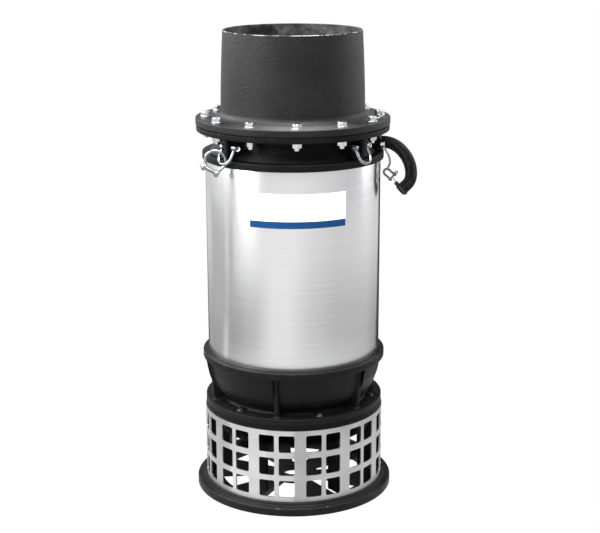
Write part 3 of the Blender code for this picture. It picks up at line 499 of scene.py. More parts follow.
ring_paint = black_paint("black_paint_on_cast_ring", "#080809", "#131314", 0.50)
ring_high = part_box("base_ring")[1]
BASE_RADIUS, BASE_STEP_TOP = ring_high.x, ring_high.z
LIP_TOP, FLOOR_TOP, FLOOR_FOOT = 0.0181, 0.0170, 0.0060
RING_BORE, EYE_RADIUS = 0.1860, 0.0245
LEG_ANGLES = [32.5 + 60.0 * number for number in range(6)]
PORT_SPAN_DEG, PORT_INNER, PORT_OUTER = 29.5, 0.0530, 0.1660
base_corners = [
    (EYE_RADIUS, FLOOR_FOOT, 0.001), (EYE_RADIUS, FLOOR_TOP, 0.001), (RING_BORE, FLOOR_TOP, 0.003),
    (RING_BORE, BASE_STEP_TOP, 0.0015), (0.2070, BASE_STEP_TOP, 0.002), (0.2090, LIP_TOP, 0.003),
    (BASE_RADIUS, LIP_TOP, 0.0035), (BASE_RADIUS, 0.0, 0.0015), (RING_BORE, 0.0, 0.001),
    (RING_BORE, FLOOR_FOOT, 0.003),
]
ports = bmesh.new()
for leg_angle in LEG_ANGLES:
    turns = [math.radians(leg_angle + PORT_SPAN_DEG * step / 6) for step in range(7)]
    plan = []
    for radius, order in ((PORT_INNER, turns), (PORT_OUTER, turns[::-1])):
        for turn in order:
            rounding = 0.005 if turn in (turns[0], turns[-1]) else 0.0
            plan.append((radius * math.sin(turn), -radius * math.cos(turn), rounding))
    outline = softened(plan)
    stacked(ports, [[ports.verts.new((x, y, z)) for x, y in outline] for z in (-0.003, 0.0205)])
base_mesh = carved(spun(bmesh.new(), softened(base_corners), worn=[(BASE_RADIUS, LIP_TOP)]), ports)
piece("base_ring_casting", base_mesh, ring_paint, replaces=["base_ring"])


# Suction casting
# One iron casting: a flange, the flared suction bell under it and six flat legs that carry the
# whole pump on the base ring, in line with every second wide strip of the strainer.
def wall_place(angle, radius, z, sideways=0.0):
    """A point at that angle in degrees and that radius, moved sideways round the wall."""
    turn = math.radians(angle) + sideways / radius
    return Vector((radius * math.sin(turn), -radius * math.cos(turn), z))


def web(mesh, angle, thickness, rows, flare, nose=0.003):
    """A cast web along a radius, flared where it grows out of the wall behind it.
    rows holds (height, wall radius, edge radius, extra half thickness), from bottom to top."""
    quarter = [math.pi / 2 * step / 4 for step in range(5)]
    rings = []
    for z, wall, edge, extra in rows:
        half = thickness / 2 + extra
        tip = min(nose, half)
        section = [(wall - 0.002, -half - flare)]
        section += [(wall + flare * (1 - math.cos(turn)), -half - flare * (1 - math.sin(turn))) for turn in quarter]
        section += [(edge - tip * (1 - math.sin(turn)), -half + tip * (1 - math.cos(turn))) for turn in quarter]
        section += [(r, -s) for r, s in reversed(section)]
        rings.append([mesh.verts.new(wall_place(angle, r, z, s)) for r, s in section])
    stacked(mesh, rings)


inner_paint = black_paint("black_paint_on_inner_castings", "#040405", "#0b0b0c", 0.52, shine=0.10)
suction_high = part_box("suction_casting")[1]
SUCTION_TOP, SUCTION_RADIUS = suction_high.z, suction_high.x
THROAT_RADIUS, FLANGE_FOOT = 0.1405, 0.1913
bell_corners = [
    (THROAT_RADIUS, SUCTION_TOP, 0.001), (SUCTION_RADIUS, SUCTION_TOP, 0.001),
    (SUCTION_RADIUS, FLANGE_FOOT, 0.001), (0.1515, FLANGE_FOOT, 0.004), (0.1530, 0.1780, 0.012),
    (0.1600, 0.1620, 0.010), (0.1740, 0.1500, 0.003), (0.1740, 0.1440, 0.003), (0.1680, 0.1440, 0.003),
    (0.1530, 0.1580, 0.010), (0.1430, 0.1760, 0.012), (THROAT_RADIUS, FLANGE_FOOT, 0.004),
]
suction_mesh = spun(bmesh.new(), softened(bell_corners))
LEG_EDGE, LEG_THICKNESS = 0.1984, 0.012
leg_rows = [(z, inner, LEG_EDGE, 0.0) for z, inner in (
    (BASE_STEP_TOP + 0.0003, 0.152), (0.0300, 0.150), (0.1290, 0.150), (0.1370, 0.152), (0.1450, 0.158),
    (0.1500, 0.166), (0.1560, 0.164), (0.1650, 0.158), (0.1780, 0.154), (0.1920, 0.153))]
for leg_angle in LEG_ANGLES:
    web(suction_mesh, leg_angle, LEG_THICKNESS, leg_rows, flare=0.002, nose=0.002)
piece("suction_bell_and_legs", suction_mesh, inner_paint, replaces=["suction_casting"])


# Strainer
# Stainless sheet, 3 mm thick, punched with rows of rounded windows and rolled round the legs in
# six panels. The punched pattern is drawn flat once and repeated and rolled by Geometry Nodes.
strainer_steel, tree, shader = finish("rolled_stainless_sheet", {"Metallic": 1.0})
# Mill-finished stainless steel: pale and even, with a faint rolling grain along the sheet that
# softens reflections sideways. Grain lines are drawn 2 mm apart, coarser than real, to show.
place = add(tree, "ShaderNodeTexCoord").outputs["Object"]
lines = add(tree, "ShaderNodeMapping", {0: place, "Scale": (6.0, 6.0, 500.0)})
grain = add(tree, "ShaderNodeTexNoise", {0: lines, "Scale": 1.0, "Detail": 3.0})
smears = add(tree, "ShaderNodeTexNoise", {0: place, "Scale": 1.0 / 0.045, "Detail": 3.0})
tint = stops(add(tree, "ShaderNodeValToRGB", {0: smears}), ((0.3, linear("#cdcdce")), (0.7, linear("#dededf"))))
# The tone steps round the strainer by bearing, a painted reflection of the lights: brightest at the left front,
# darkest at the front.
runs = greys(add(tree, "ShaderNodeValToRGB", {0: round_axis(tree, place)}), (
    (-180, 0.84), (-140, 0.72), (-110, 0.90), (-80, 0.68), (-48, 0.76), (-45, 0.98), (-20, 0.98), (-17, 0.86),
    (-2, 0.86), (-1, 0.63), (8, 0.63), (10, 0.74), (60, 0.72), (80, 0.60), (110, 0.84), (140, 0.70), (179, 0.84)))
# The sheet's own tint times the painted reflection bands.
tint_with_painted_reflection = add(tree, "ShaderNodeMix", {"Factor": 1.0, 6: tint, 7: runs}, data_type="RGBA", blend_type="MULTIPLY")
gloss = add(tree, "ShaderNodeMapRange", {0: grain, 1: 0.3, 2: 0.7, 3: 0.34, 4: 0.46})
lift = add(tree, "ShaderNodeBump", {"Height": grain, "Strength": 0.08, "Distance": 0.0004})
feed(shader, {"Base Color": tint_with_painted_reflection.outputs[2], "Roughness": gloss, "Normal": lift})

STRAINER_RADIUS, STRAINER_WALL = 0.2024, 0.0030
STRIP_DEG, WINDOW_DEG, BAR_DEG = 7.2, 10.0, 2.8
WINDOW_ROWS = ((0.0360, 0.0750), (0.0870, 0.1276), (0.1410, 0.1800))
WINDOW_CORNER = 0.0042
strainer_low, strainer_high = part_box("strainer_panel_1")


def across(degrees):
    """Length round the strainer's face for an angle in degrees."""
    return math.radians(degrees) * STRAINER_RADIUS


def punched_cell(mesh, x_range, z_range, window_x, window_z):
    """A flat rectangle of sheet with one rounded window, as two bands of faces round the window."""
    inner, outer = [], []
    sides = ((1, 1), (-1, 1), (-1, -1), (1, -1))
    centres = [(window_x[sx > 0] - sx * WINDOW_CORNER, window_z[sz > 0] - sz * WINDOW_CORNER) for sx, sz in sides]
    for number, (sx, sz) in enumerate(sides):
        cx, cz = centres[number]
        edge_x, edge_z = x_range[sx > 0], z_range[sz > 0]
        along_x = number % 2 == 0
        for step in range(5):
            turn = math.radians(90.0 * number + 22.5 * step)
            inner.append((cx + WINDOW_CORNER * math.cos(turn), cz + WINDOW_CORNER * math.sin(turn)))
            share = abs(step - 2) / 2
            if step == 2:
                outer.append((edge_x, edge_z))
            elif (step < 2) == along_x:
                outer.append((edge_x, edge_z + (cz - edge_z) * share))
            else:
                outer.append((edge_x + (cx - edge_x) * share, edge_z))
        end_x, end_z = centres[(number + 1) % 4]
        turn = math.radians(90.0 * (number + 1))
        goal_in = (end_x + WINDOW_CORNER * math.cos(turn), end_z + WINDOW_CORNER * math.sin(turn))
        goal_out = (end_x, outer[-1][1]) if along_x else (outer[-1][0], end_z)
        for points, start, goal in ((inner, inner[-1], goal_in), (outer, outer[-1], goal_out)):
            for step in range(1, 5):
                points.append(tuple(a + (b - a) * (step / 5) for a, b in zip(start, goal)))
    middle = [((a + c) / 2, (b + d) / 2) for (a, b), (c, d) in zip(inner, outer)]
    rings = [[mesh.verts.new((x, 0.0, z)) for x, z in ring] for ring in (inner, middle, outer)]
    banded(mesh, rings[0], rings[1])
    banded(mesh, rings[1], rings[2])


module_mesh = bmesh.new()
module_width = across(STRIP_DEG + 2 * WINDOW_DEG + BAR_DEG)
left_window = (across(STRIP_DEG / 2), across(STRIP_DEG / 2 + WINDOW_DEG))
right_window = (module_width - left_window[1], module_width - left_window[0])
row_edges = [strainer_low.z]
row_edges += [(lower[1] + upper[0]) / 2 for lower, upper in zip(WINDOW_ROWS, WINDOW_ROWS[1:])]
row_edges.append(strainer_high.z)
for window_z, z_range in zip(WINDOW_ROWS, zip(row_edges, row_edges[1:])):
    punched_cell(module_mesh, (0.0, module_width / 2), z_range, left_window, window_z)
    punched_cell(module_mesh, (module_width / 2, module_width), z_range, right_window, window_z)
bmesh.ops.remove_doubles(module_mesh, verts=module_mesh.verts, dist=1e-6)
punched_module = placed("punched_module", written("punched_module", module_mesh))


def geometry_tree(name, numbers):
    """A Geometry Nodes tree with inputs for numbers, a pattern object and a material."""
    tree = bpy.data.node_groups.new(name, "GeometryNodeTree")
    kinds = [(title, "NodeSocketFloat") for title in numbers]
    kinds += [("Pattern", "NodeSocketObject"), ("Material", "NodeSocketMaterial")]
    for title, kind in kinds:
        tree.interface.new_socket(title, in_out="INPUT", socket_type=kind)
    tree.interface.new_socket("Geometry", in_out="OUTPUT", socket_type="NodeSocketGeometry")
    given = add(tree, "NodeGroupInput").outputs
    source = add(tree, "GeometryNodeObjectInfo", {"Object": given["Pattern"]}).outputs["Geometry"]
    return tree, given, source, add(tree, "NodeGroupOutput")


def grown(name, tree, values):
    """The mesh that a tree makes from those input values, as plain data."""
    holder = placed(name, bpy.data.meshes.new(name))
    modifier = holder.modifiers.new(name, "NODES")
    modifier.node_group = tree
    for item in tree.interface.items_tree:
        if item.in_out == "INPUT":
            modifier[item.identifier] = values[item.name]
    data = applied(holder)
    holder.modifiers.remove(modifier)
    bpy.data.objects.remove(holder)
    data.name = name
    return data


roll_tree, given, source, result = geometry_tree(
    "rolled_punched_sheet", ("Modules", "Module width", "Radius", "Start"))
count = add(roll_tree, "FunctionNodeFloatToInt", {0: given["Modules"]})
offset = add(roll_tree, "ShaderNodeCombineXYZ", {"X": given["Module width"]})
line = add(roll_tree, "GeometryNodeMeshLine", {"Count": count, "Offset": offset})
copies = add(roll_tree, "GeometryNodeInstanceOnPoints", {"Points": line, "Instance": source})
real = add(roll_tree, "GeometryNodeRealizeInstances", {0: copies})
welded = add(roll_tree, "GeometryNodeMergeByDistance", {0: real, "Distance": 1e-5})
flat = add(roll_tree, "ShaderNodeSeparateXYZ", {0: add(roll_tree, "GeometryNodeInputPosition")}).outputs
turn = add(roll_tree, "ShaderNodeMath", {0: flat["X"], 1: given["Radius"]}, operation="DIVIDE")
swing = add(roll_tree, "ShaderNodeMath", {0: turn, 1: given["Start"]}, operation="ADD")
sine = add(roll_tree, "ShaderNodeMath", {0: swing}, operation="SINE")
cosine = add(roll_tree, "ShaderNodeMath", {0: swing}, operation="COSINE")
rolled_x = add(roll_tree, "ShaderNodeMath", {0: sine, 1: given["Radius"]}, operation="MULTIPLY")
reach = add(roll_tree, "ShaderNodeMath", {0: cosine, 1: given["Radius"]}, operation="MULTIPLY")
rolled_y = add(roll_tree, "ShaderNodeMath", {0: reach, 1: -1.0}, operation="MULTIPLY")
rolled = add(roll_tree, "ShaderNodeCombineXYZ", {"X": rolled_x, "Y": rolled_y, "Z": flat["Z"]})
bent = add(roll_tree, "GeometryNodeSetPosition", {0: welded, "Position": rolled})
feed(result, {0: add(roll_tree, "GeometryNodeSetMaterial", {0: bent, "Material": given["Material"]})})

for number, leg_angle in enumerate(LEG_ANGLES, 1):
    sheet = grown(f"strainer_panel_{number}_sheet", roll_tree, {
        "Modules": 2.0, "Module width": module_width, "Radius": STRAINER_RADIUS, "Start": math.radians(leg_angle),
        "Pattern": punched_module, "Material": strainer_steel})
    sheet_mesh = bmesh.new()
    sheet_mesh.from_mesh(sheet)
    bmesh.ops.recalc_face_normals(sheet_mesh, faces=sheet_mesh.faces)
    if sum(face.normal.xy.dot(face.calc_center_median().xy) for face in sheet_mesh.faces) < 0:
        bmesh.ops.reverse_faces(sheet_mesh, faces=sheet_mesh.faces)
    sheet_mesh.to_mesh(sheet)
    sheet_mesh.free()
    sheet.shade_smooth()
    panel = placed(f"strainer_panel_{number}_sheet", sheet)
    wall = panel.modifiers.new("sheet_thickness", "SOLIDIFY")
    wall.thickness = STRAINER_WALL
    wall.offset = -1.0
    solid = applied(panel)
    panel.modifiers.clear()
    panel.data = solid
    solid.set_sharp_from_angle(angle=math.radians(35.0))
    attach(panel, "pump")
    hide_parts(f"strainer_panel_{number}")
bpy.data.objects.remove(punched_module)


# Bottom casing
# A bowl-shaped iron casting: a collar that the shell stands in, six ribs with cast fillets and a
# flange with six small screws in spot-faced seats.
def along_wall(points, z):
    """The radius of a (radius, height) wall at that height."""
    ordered = sorted((b, a) for a, b in points)
    for (z0, r0), (z1, r1) in zip(ordered, ordered[1:]):
        if z <= z1:
            return r0 + (r1 - r0) * max(0.0, (z - z0)) / max(z1 - z0, 1e-9)
    return ordered[-1][1]


def flared_rows(bottom, top, wall, edge, rounding, count=6):
    """Rows of a web between two flanges, thickened by a rounding at either end."""
    rows = []
    heights = [bottom + rounding * (1 - math.cos(math.pi / 2 * n / 4)) for n in range(4)]
    heights += [bottom + rounding + (top - bottom - 2 * rounding) * n / count for n in range(count + 1)]
    heights += [top - rounding * (1 - math.cos(math.pi / 2 * (3 - n) / 4)) for n in range(4)]
    for z in heights:
        gap = max(0.0, rounding - min(z - bottom, top - z))
        extra = rounding - math.sqrt(max(rounding ** 2 - gap ** 2, 0.0))
        rows.append((z, wall(z), edge(z) + extra, extra))
    return rows


def plain_ring(mesh, radii, heights, rounding=(0.0, 0.0, 0.0), steps=32, matrix=Matrix()):
    """A ring, or a disc from radius 0, with roundings at its hole, its lower and its upper edge."""
    (inner, outer), (low, high), (at_hole, at_foot, at_top) = radii, heights, rounding
    corners = [(inner, low, at_hole), (outer, low, at_foot), (outer, high, at_top), (inner, high, at_hole)]
    return spun(mesh, softened(corners), steps, matrix)


casing_paint = black_paint("black_paint_on_lower_casing", "#060607", "#0f0f10", 0.46)
bottom_low, bottom_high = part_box("bottom_casing")
BOTTOM_TOP, BOTTOM_JOINT = bottom_high.z, bottom_low.z
shell_low, shell_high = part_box("motor_shell")
SHELL_RADIUS = shell_high.x
COLLAR_RADIUS, COLLAR_FOOT, FLANGE_TOP = 0.2059, 0.3073, 0.2165
RIB_THICKNESS = 0.0112
SCREW_ANGLES = [17.0 + 60.0 * number for number in range(6)]
SCREW_CIRCLE, SEAT_RADIUS, SEAT_DEPTH = 0.1790, 0.0155, 0.0012
bowl_curve = [(0.1990, COLLAR_FOOT), (0.1930, 0.2760), (0.1885, 0.2630), (0.1840, 0.2500), (0.1770, 0.2370),
              (0.1690, 0.2270)]
bowl_wall = bowl_curve + [(0.1645, 0.2205), (0.1645, FLANGE_TOP)]
rib_line = [(0.1895, FLANGE_TOP), (0.1930, 0.2350), (0.1940, 0.2535), (0.1970, 0.2990), (0.1985, 0.3100)]
bottom_corners = [(SHELL_RADIUS + 0.0004, BOTTOM_TOP, 0.001), (COLLAR_RADIUS, BOTTOM_TOP, 0.0022),
                  (COLLAR_RADIUS, COLLAR_FOOT, 0.0022)]
bowl_roundings = (0.003, 0.060, 0.040, 0.040, 0.030, 0.020)
bottom_corners += [(*place, rounding) for place, rounding in zip(bowl_curve, bowl_roundings)]
bottom_corners += [
    (0.1640, 0.2208, 0.0015), (0.1675, 0.2192, 0.0010), (0.1685, FLANGE_TOP, 0.0010),
    (SUCTION_RADIUS, FLANGE_TOP, 0.0012), (SUCTION_RADIUS, BOTTOM_JOINT, 0.0006),
    (THROAT_RADIUS, BOTTOM_JOINT, 0.001), (THROAT_RADIUS, 0.2380, 0.006), (0.1640, 0.2700, 0.020),
    (0.1780, 0.3020, 0.010), (0.1860, 0.3150, 0.001), (SHELL_RADIUS + 0.0004, 0.3150, 0.0),
]
bottom_mesh = spun(bmesh.new(), softened(bottom_corners), worn=[(COLLAR_RADIUS, BOTTOM_TOP)])
seats = bmesh.new()
for angle in SCREW_ANGLES:
    plain_ring(seats, (0.0, SEAT_RADIUS), (-SEAT_DEPTH, 0.0030), steps=48,
               matrix=Matrix.Translation(wall_place(angle, SCREW_CIRCLE, FLANGE_TOP)))
bottom_mesh = carved(bottom_mesh, seats)


def rib_edge(z):
    """The ribs lean in a little: their outer edge is closer to the axis at the flange."""
    foot = max(0.0, 1.0 - (z - FLANGE_TOP) / 0.0070)
    return along_wall(rib_line, z) - 0.0012 * foot ** 2


rib_rows = flared_rows(FLANGE_TOP - 0.0005, 0.3080, lambda z: along_wall(bowl_wall, z) - 0.004, rib_edge, 0.006)
for angle in SCREW_ANGLES:
    web(bottom_mesh, angle - 30.0, RIB_THICKNESS, rib_rows, flare=0.010)
piece("bottom_casing_casting", bottom_mesh, casing_paint, replaces=["bottom_casing"])


# Casing screws
# Six small hexagon screws with washers, sunk in the spot-faced seats, hold the lower casing to the
# suction casting.
def hexagon(mesh, across_flats, low, high, chamfer, matrix=Matrix()):
    """A hexagon head or nut about the vertical axis, with its corners chamfered at the top."""
    flat = across_flats / 2
    corner = flat / math.cos(math.radians(30.0))
    rings = []
    for radius, z in ((corner, low), (corner, high - chamfer), (flat, high)):
        ring = []
        for step in range(24):
            angle = math.tau * step / 24
            side = math.radians((math.degrees(angle) % 60.0) - 30.0)
            reach = min(radius, flat / math.cos(side))
            ring.append(mesh.verts.new(matrix @ Vector((reach * math.cos(angle), reach * math.sin(angle), z))))
        rings.append(ring)
    stacked(mesh, rings)


def clouded(name, size, detail, dark, light, roughness, metallic=0.0):
    """A material whose tone drifts between two colours in clouds of that size in metres. Its
    roughness is one value, or a pair between which it drifts with the tone."""
    made, tree, shader = finish(name, {"Metallic": metallic})
    place = add(tree, "ShaderNodeTexCoord").outputs["Object"]
    cloud = add(tree, "ShaderNodeTexNoise", {"Vector": place, "Scale": 1.0 / size, "Detail": detail})
    tint = stops(add(tree, "ShaderNodeValToRGB", {0: cloud}), ((0.3, linear(dark)), (0.7, linear(light))))
    if isinstance(roughness, tuple):
        roughness = add(tree, "ShaderNodeMapRange", {0: cloud, 1: 0.3, 2: 0.7, 3: roughness[0], 4: roughness[1]})
    feed(shader, {"Base Color": tint, "Roughness": roughness})
    return made


# Zinc plated steel: cool bright grey and smooth, a little cloudy from the plating bath.
zinc = clouded("bright_zinc_plate", 0.018, 2.0, "#c2c4c6", "#dcdee0", (0.20, 0.28), metallic=1.0)
# Dull zinc: mid grey, mottled and a little rough.
dull_zinc = clouded("dull_zinc_plate", 0.006, 3.0, "#4c4d4f", "#7a7b7d", 0.38, metallic=0.9)

screw_mesh = bmesh.new()
for number, angle in enumerate(SCREW_ANGLES):
    seat = Matrix.Translation(wall_place(angle, SCREW_CIRCLE, FLANGE_TOP - SEAT_DEPTH))
    plain_ring(screw_mesh, (0.0, 0.0082), (0.0001, 0.0016), (0.0, 0.0, 0.0004), matrix=seat)
    spin = Matrix.Rotation(math.radians(37.0 * number), 4, "Z")
    hexagon(screw_mesh, 0.0090, 0.0015, 0.0050, 0.0008, seat @ spin)
piece("casing_screws", screw_mesh, dull_zinc, sharp=30.0)


# Propeller, shaft and diffuser
# A cast bronze propeller turns in the throat on the stainless motor shaft. The iron diffuser over
# it straightens the flow with six vanes. All three keep the frame's own shape.
def dress(name, material):
    """Gives a frame node that keeps its own shape a better material, in its object's slots."""
    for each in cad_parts[name].material_slots:
        each.link = "OBJECT"
        each.material = material


# Cast bronze: warm and cloudy, with a sand grain of 4 mm that softens its gleam.
bronze = clouded("cast_bronze", 0.04, 3.0, "#7d6440", "#b0915c", 0.42, metallic=1.0)
tree = bronze.node_tree
place = add(tree, "ShaderNodeTexCoord").outputs["Object"]
cast = add(tree, "ShaderNodeTexNoise", {"Vector": place, "Scale": 1.0 / 0.004, "Detail": 3.0})
lift = add(tree, "ShaderNodeBump", {"Height": cast, "Strength": 0.3, "Distance": 0.0004})
feed(tree.nodes["Principled BSDF"], {"Normal": lift})
# Turned stainless steel: bright, with the tool's rings drawn 1 mm apart.
turned_steel, tree, shader = finish("turned_stainless_steel", {"Base Color": linear("#cfcfd0"), "Metallic": 1.0})
place = add(tree, "ShaderNodeTexCoord").outputs["Object"]
rings = add(tree, "ShaderNodeMapping", {0: place, "Scale": (8.0, 8.0, 900.0)})
marks = add(tree, "ShaderNodeTexNoise", {0: rings, "Scale": 1.0, "Detail": 2.0})
feed(shader, {"Roughness": add(tree, "ShaderNodeMapRange", {0: marks, 1: 0.3, 2: 0.7, 3: 0.22, 4: 0.34})})
dress("propeller", bronze)
dress("shaft", turned_steel)
dress("diffuser", inner_paint)


# Motor housing and motor head
# The closed iron motor stands in the middle of the shell with the water rising round it. The head
# is a dome with three thin struts and one wide duct for the cable's cores.
dress("motor_housing", inner_paint)
dress("motor_head", inner_paint)


# Motor shell
# A rolled stainless sleeve, 3 mm thick, brushed round its girth, so that lights draw tall soft
# bands on it.
shell_steel, tree, shader = finish("brushed_stainless_shell", {
    "Metallic": 1.0, "Anisotropic": 0.74, "Anisotropic Rotation": 0.25})
place = add(tree, "ShaderNodeUVMap")
# Brush lines run round the shell. Real ones are some 0.2 mm apart; they are drawn at 1.6 and 8 mm.
fine_map = add(tree, "ShaderNodeMapping", {0: place, "Scale": (7.0, 640.0, 1.0)})
fine = add(tree, "ShaderNodeTexNoise", {0: fine_map, "Scale": 1.0, "Detail": 3.0, "Roughness": 0.6})
broad_map = add(tree, "ShaderNodeMapping", {0: place, "Scale": (2.5, 130.0, 1.0)})
broad = add(tree, "ShaderNodeTexNoise", {0: broad_map, "Scale": 1.0, "Detail": 3.0})
lines = add(tree, "ShaderNodeMath", {0: fine, 1: broad}, operation="ADD")
halved = add(tree, "ShaderNodeMath", {0: lines, 1: 0.5}, operation="MULTIPLY")
tint = stops(add(tree, "ShaderNodeValToRGB", {0: halved}), ((0.35, linear("#d8d8d9")), (0.65, linear("#dededf"))))
gloss = add(tree, "ShaderNodeMapRange", {0: fine, 1: 0.3, 2: 0.7, 3: 0.205, 4: 0.225})
lift = add(tree, "ShaderNodeBump", {"Height": fine, "Strength": 0.006, "Distance": 0.0001})
girth_way = add(tree, "ShaderNodeTangent", direction_type="UV_MAP")
feed(shader, {"Base Color": tint, "Roughness": gloss, "Normal": lift, "Tangent": girth_way})

shell_corners = [(r, z, 0.0005) for r, z in (
    (SHELL_RADIUS - 0.003, shell_low.z), (SHELL_RADIUS, shell_low.z),
    (SHELL_RADIUS, shell_high.z), (SHELL_RADIUS - 0.003, shell_high.z))]
shell_mesh = spun(bmesh.new(), softened(shell_corners, 2), steps=256)
piece("motor_shell_sleeve", shell_mesh, shell_steel, replaces=["motor_shell"])


# Label plate
# A thin enamelled plate on the front of the shell. It carries no words: a plain white field with
# a plain blue band along its foot.
PLATE_LEFT, PLATE_RIGHT, PLATE_STEPS = math.radians(-29.6), math.radians(33.3), 48
PLATE_FOOT, PLATE_HEAD, BAND_HEIGHT = 0.6415, 0.7155, 0.0150
plate_enamel, tree, shader = finish("white_and_blue_enamel", {"Roughness": 0.35, "Specular IOR Level": 0.2})
place = add(tree, "ShaderNodeUVMap")
level = add(tree, "ShaderNodeSeparateXYZ", {0: place}).outputs["Y"]
band = add(tree, "ShaderNodeMath", {0: level, 1: BAND_HEIGHT}, operation="LESS_THAN")
cloud = add(tree, "ShaderNodeTexNoise", {"Vector": place, "Scale": 1.0 / 0.03, "Detail": 2.0})
white, blue = [
    stops(add(tree, "ShaderNodeValToRGB", {0: cloud}), ((0.3, linear(dark)), (0.7, linear(light))))
    for dark, light in (("#f4f5f6", "#fdfdfd"), ("#033763", "#053d6c"))]
field = add(tree, "ShaderNodeMix", {"Factor": band, 6: white, 7: blue}, data_type="RGBA")
feed(shader, {"Base Color": field.outputs[2]})

plate_mesh = bmesh.new()
uv = plate_mesh.loops.layers.uv.verify()
plate_turns = [PLATE_LEFT + (PLATE_RIGHT - PLATE_LEFT) * n / PLATE_STEPS for n in range(PLATE_STEPS + 1)]
plate_rows = []
for proud, z in ((0.0006, PLATE_FOOT), (0.0006, PLATE_HEAD), (0.0002, PLATE_HEAD), (0.0002, PLATE_FOOT)):
    radius = SHELL_RADIUS + proud
    plate_rows.append([plate_mesh.verts.new((radius * math.sin(turn), -radius * math.cos(turn), z))
                       for turn in plate_turns])
for low, high in zip(plate_rows, plate_rows[1:] + plate_rows[:1]):
    for n in range(PLATE_STEPS):
        plate_mesh.faces.new((low[n], low[n + 1], high[n + 1], high[n]))
for n in (0, PLATE_STEPS):
    plate_mesh.faces.new([row[n] for row in plate_rows])
for face in plate_mesh.faces:
    for loop in face.loops:
        spot = loop.vert.co
        loop[uv].uv = ((math.atan2(spot.x, -spot.y) - PLATE_LEFT) * SHELL_RADIUS, spot.z - PLATE_FOOT)
piece("label_plate", plate_mesh, plate_enamel)


# Top casing
# A cast neck that narrows from the shell to the discharge flange, with a collar round the shell,
# four lifting lugs and a boss for the cable gland.
# This paint is darker and less glossy than the lower casing's: painted shade for the shadow under the discharge
# flange.
head_paint_with_painted_shade = black_paint("black_paint_on_upper_casing_with_painted_shade", "#050506", "#0b0b0c", 0.46, bare=-0.1, shine=0.12)
top_low, top_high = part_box("top_casing")
JOINT_TOP, CASING_FLANGE_RADIUS = top_high.z, top_high.x
FLANGE_UNDER, BORE_RADIUS = 0.8241, 0.1468
TOP_COLLAR_RADIUS, TOP_COLLAR_TOP = 0.2006, 0.7780
LUG_ANGLES = {"front_right": 45.0, "back_right": 135.0, "back_left": -135.0, "front_left": -45.0}
LUG_EDGE, LUG_BEND, LUG_THICKNESS = 0.2080, 0.7960, 0.0108
neck_wall = [(0.1680, FLANGE_UNDER), (0.1670, 0.8150), (0.1720, 0.7980), (0.1800, 0.7840), (0.1840, TOP_COLLAR_TOP)]
top_corners = [
    (BORE_RADIUS, JOINT_TOP, 0.001), (CASING_FLANGE_RADIUS, JOINT_TOP, 0.0012),
    (CASING_FLANGE_RADIUS, FLANGE_UNDER, 0.0025), (0.1672, FLANGE_UNDER, 0.004), (0.1670, 0.8150, 0.010),
    (0.1720, 0.7980, 0.030), (0.1800, 0.7840, 0.010), (0.1838, TOP_COLLAR_TOP, 0.003),
    (TOP_COLLAR_RADIUS, TOP_COLLAR_TOP, 0.002), (TOP_COLLAR_RADIUS, top_low.z, 0.0015),
    (SHELL_RADIUS + 0.0003, top_low.z, 0.0), (SHELL_RADIUS + 0.0003, 0.7703, 0.0), (0.1820, 0.7703, 0.001),
    (0.1740, 0.7790, 0.008), (0.1600, 0.8000, 0.010), (BORE_RADIUS, FLANGE_UNDER, 0.006),
]
top_mesh = spun(bmesh.new(), softened(top_corners), worn=[(CASING_FLANGE_RADIUS, JOINT_TOP)])


def lug_edge(z):
    """The lug's front edge: upright under the flange, then curving in to its foot on the collar."""
    if z >= LUG_BEND:
        return LUG_EDGE
    return LUG_EDGE - 0.0120 * (1.0 - math.sqrt(max(0.0, 1.0 - ((LUG_BEND - z) / 0.0182) ** 2)))


lug_rows = flared_rows(TOP_COLLAR_TOP - 0.0004, FLANGE_UNDER + 0.0004, lambda z: along_wall(neck_wall, z),
                       lug_edge, 0.003, count=10)
for lug_angle in LUG_ANGLES.values():
    web(top_mesh, lug_angle, LUG_THICKNESS, lug_rows, flare=0.005)
GLAND_LEVEL = 0.7935
SIDEWAYS = Matrix.Rotation(math.pi / 2, 4, "Y")
gland_axis = Matrix.Translation((0.0, 0.0, GLAND_LEVEL)) @ SIDEWAYS
boss_corners = [(0.0148, 0.168, 0.0), (0.0148, 0.1858, 0.0), (0.0200, 0.1858, 0.0012), (0.0200, 0.1760, 0.004),
                (0.0245, 0.1700, 0.004), (0.0245, 0.168, 0.0)]
spun(top_mesh, softened(boss_corners), steps=48, matrix=gland_axis)
piece("top_casing_casting", top_mesh, head_paint_with_painted_shade, replaces=["top_casing"])


# Cable gland
# A rubber bush in the boss, pressed by an oval stainless clamp plate with two nuts. The rubber is
# matt and nearly black, a little grey in patches.
CABLE_HOLE, GLAND_NUT_PLACE = 0.0143, 0.028
CLAMP_BACK, CLAMP_FRONT = 0.1905, 0.1945
soft_rubber = clouded("pressed_rubber", 0.006, 2.0, "#0c0c0d", "#1b1b1c", 0.6)
bush_mesh = plain_ring(bmesh.new(), (CABLE_HOLE, 0.0150), (0.1863, 0.1902), (0.0, 0.0003, 0.0003), 48, gland_axis)
piece("gland_bush_rubber", bush_mesh, soft_rubber, replaces=["gland_bush"])

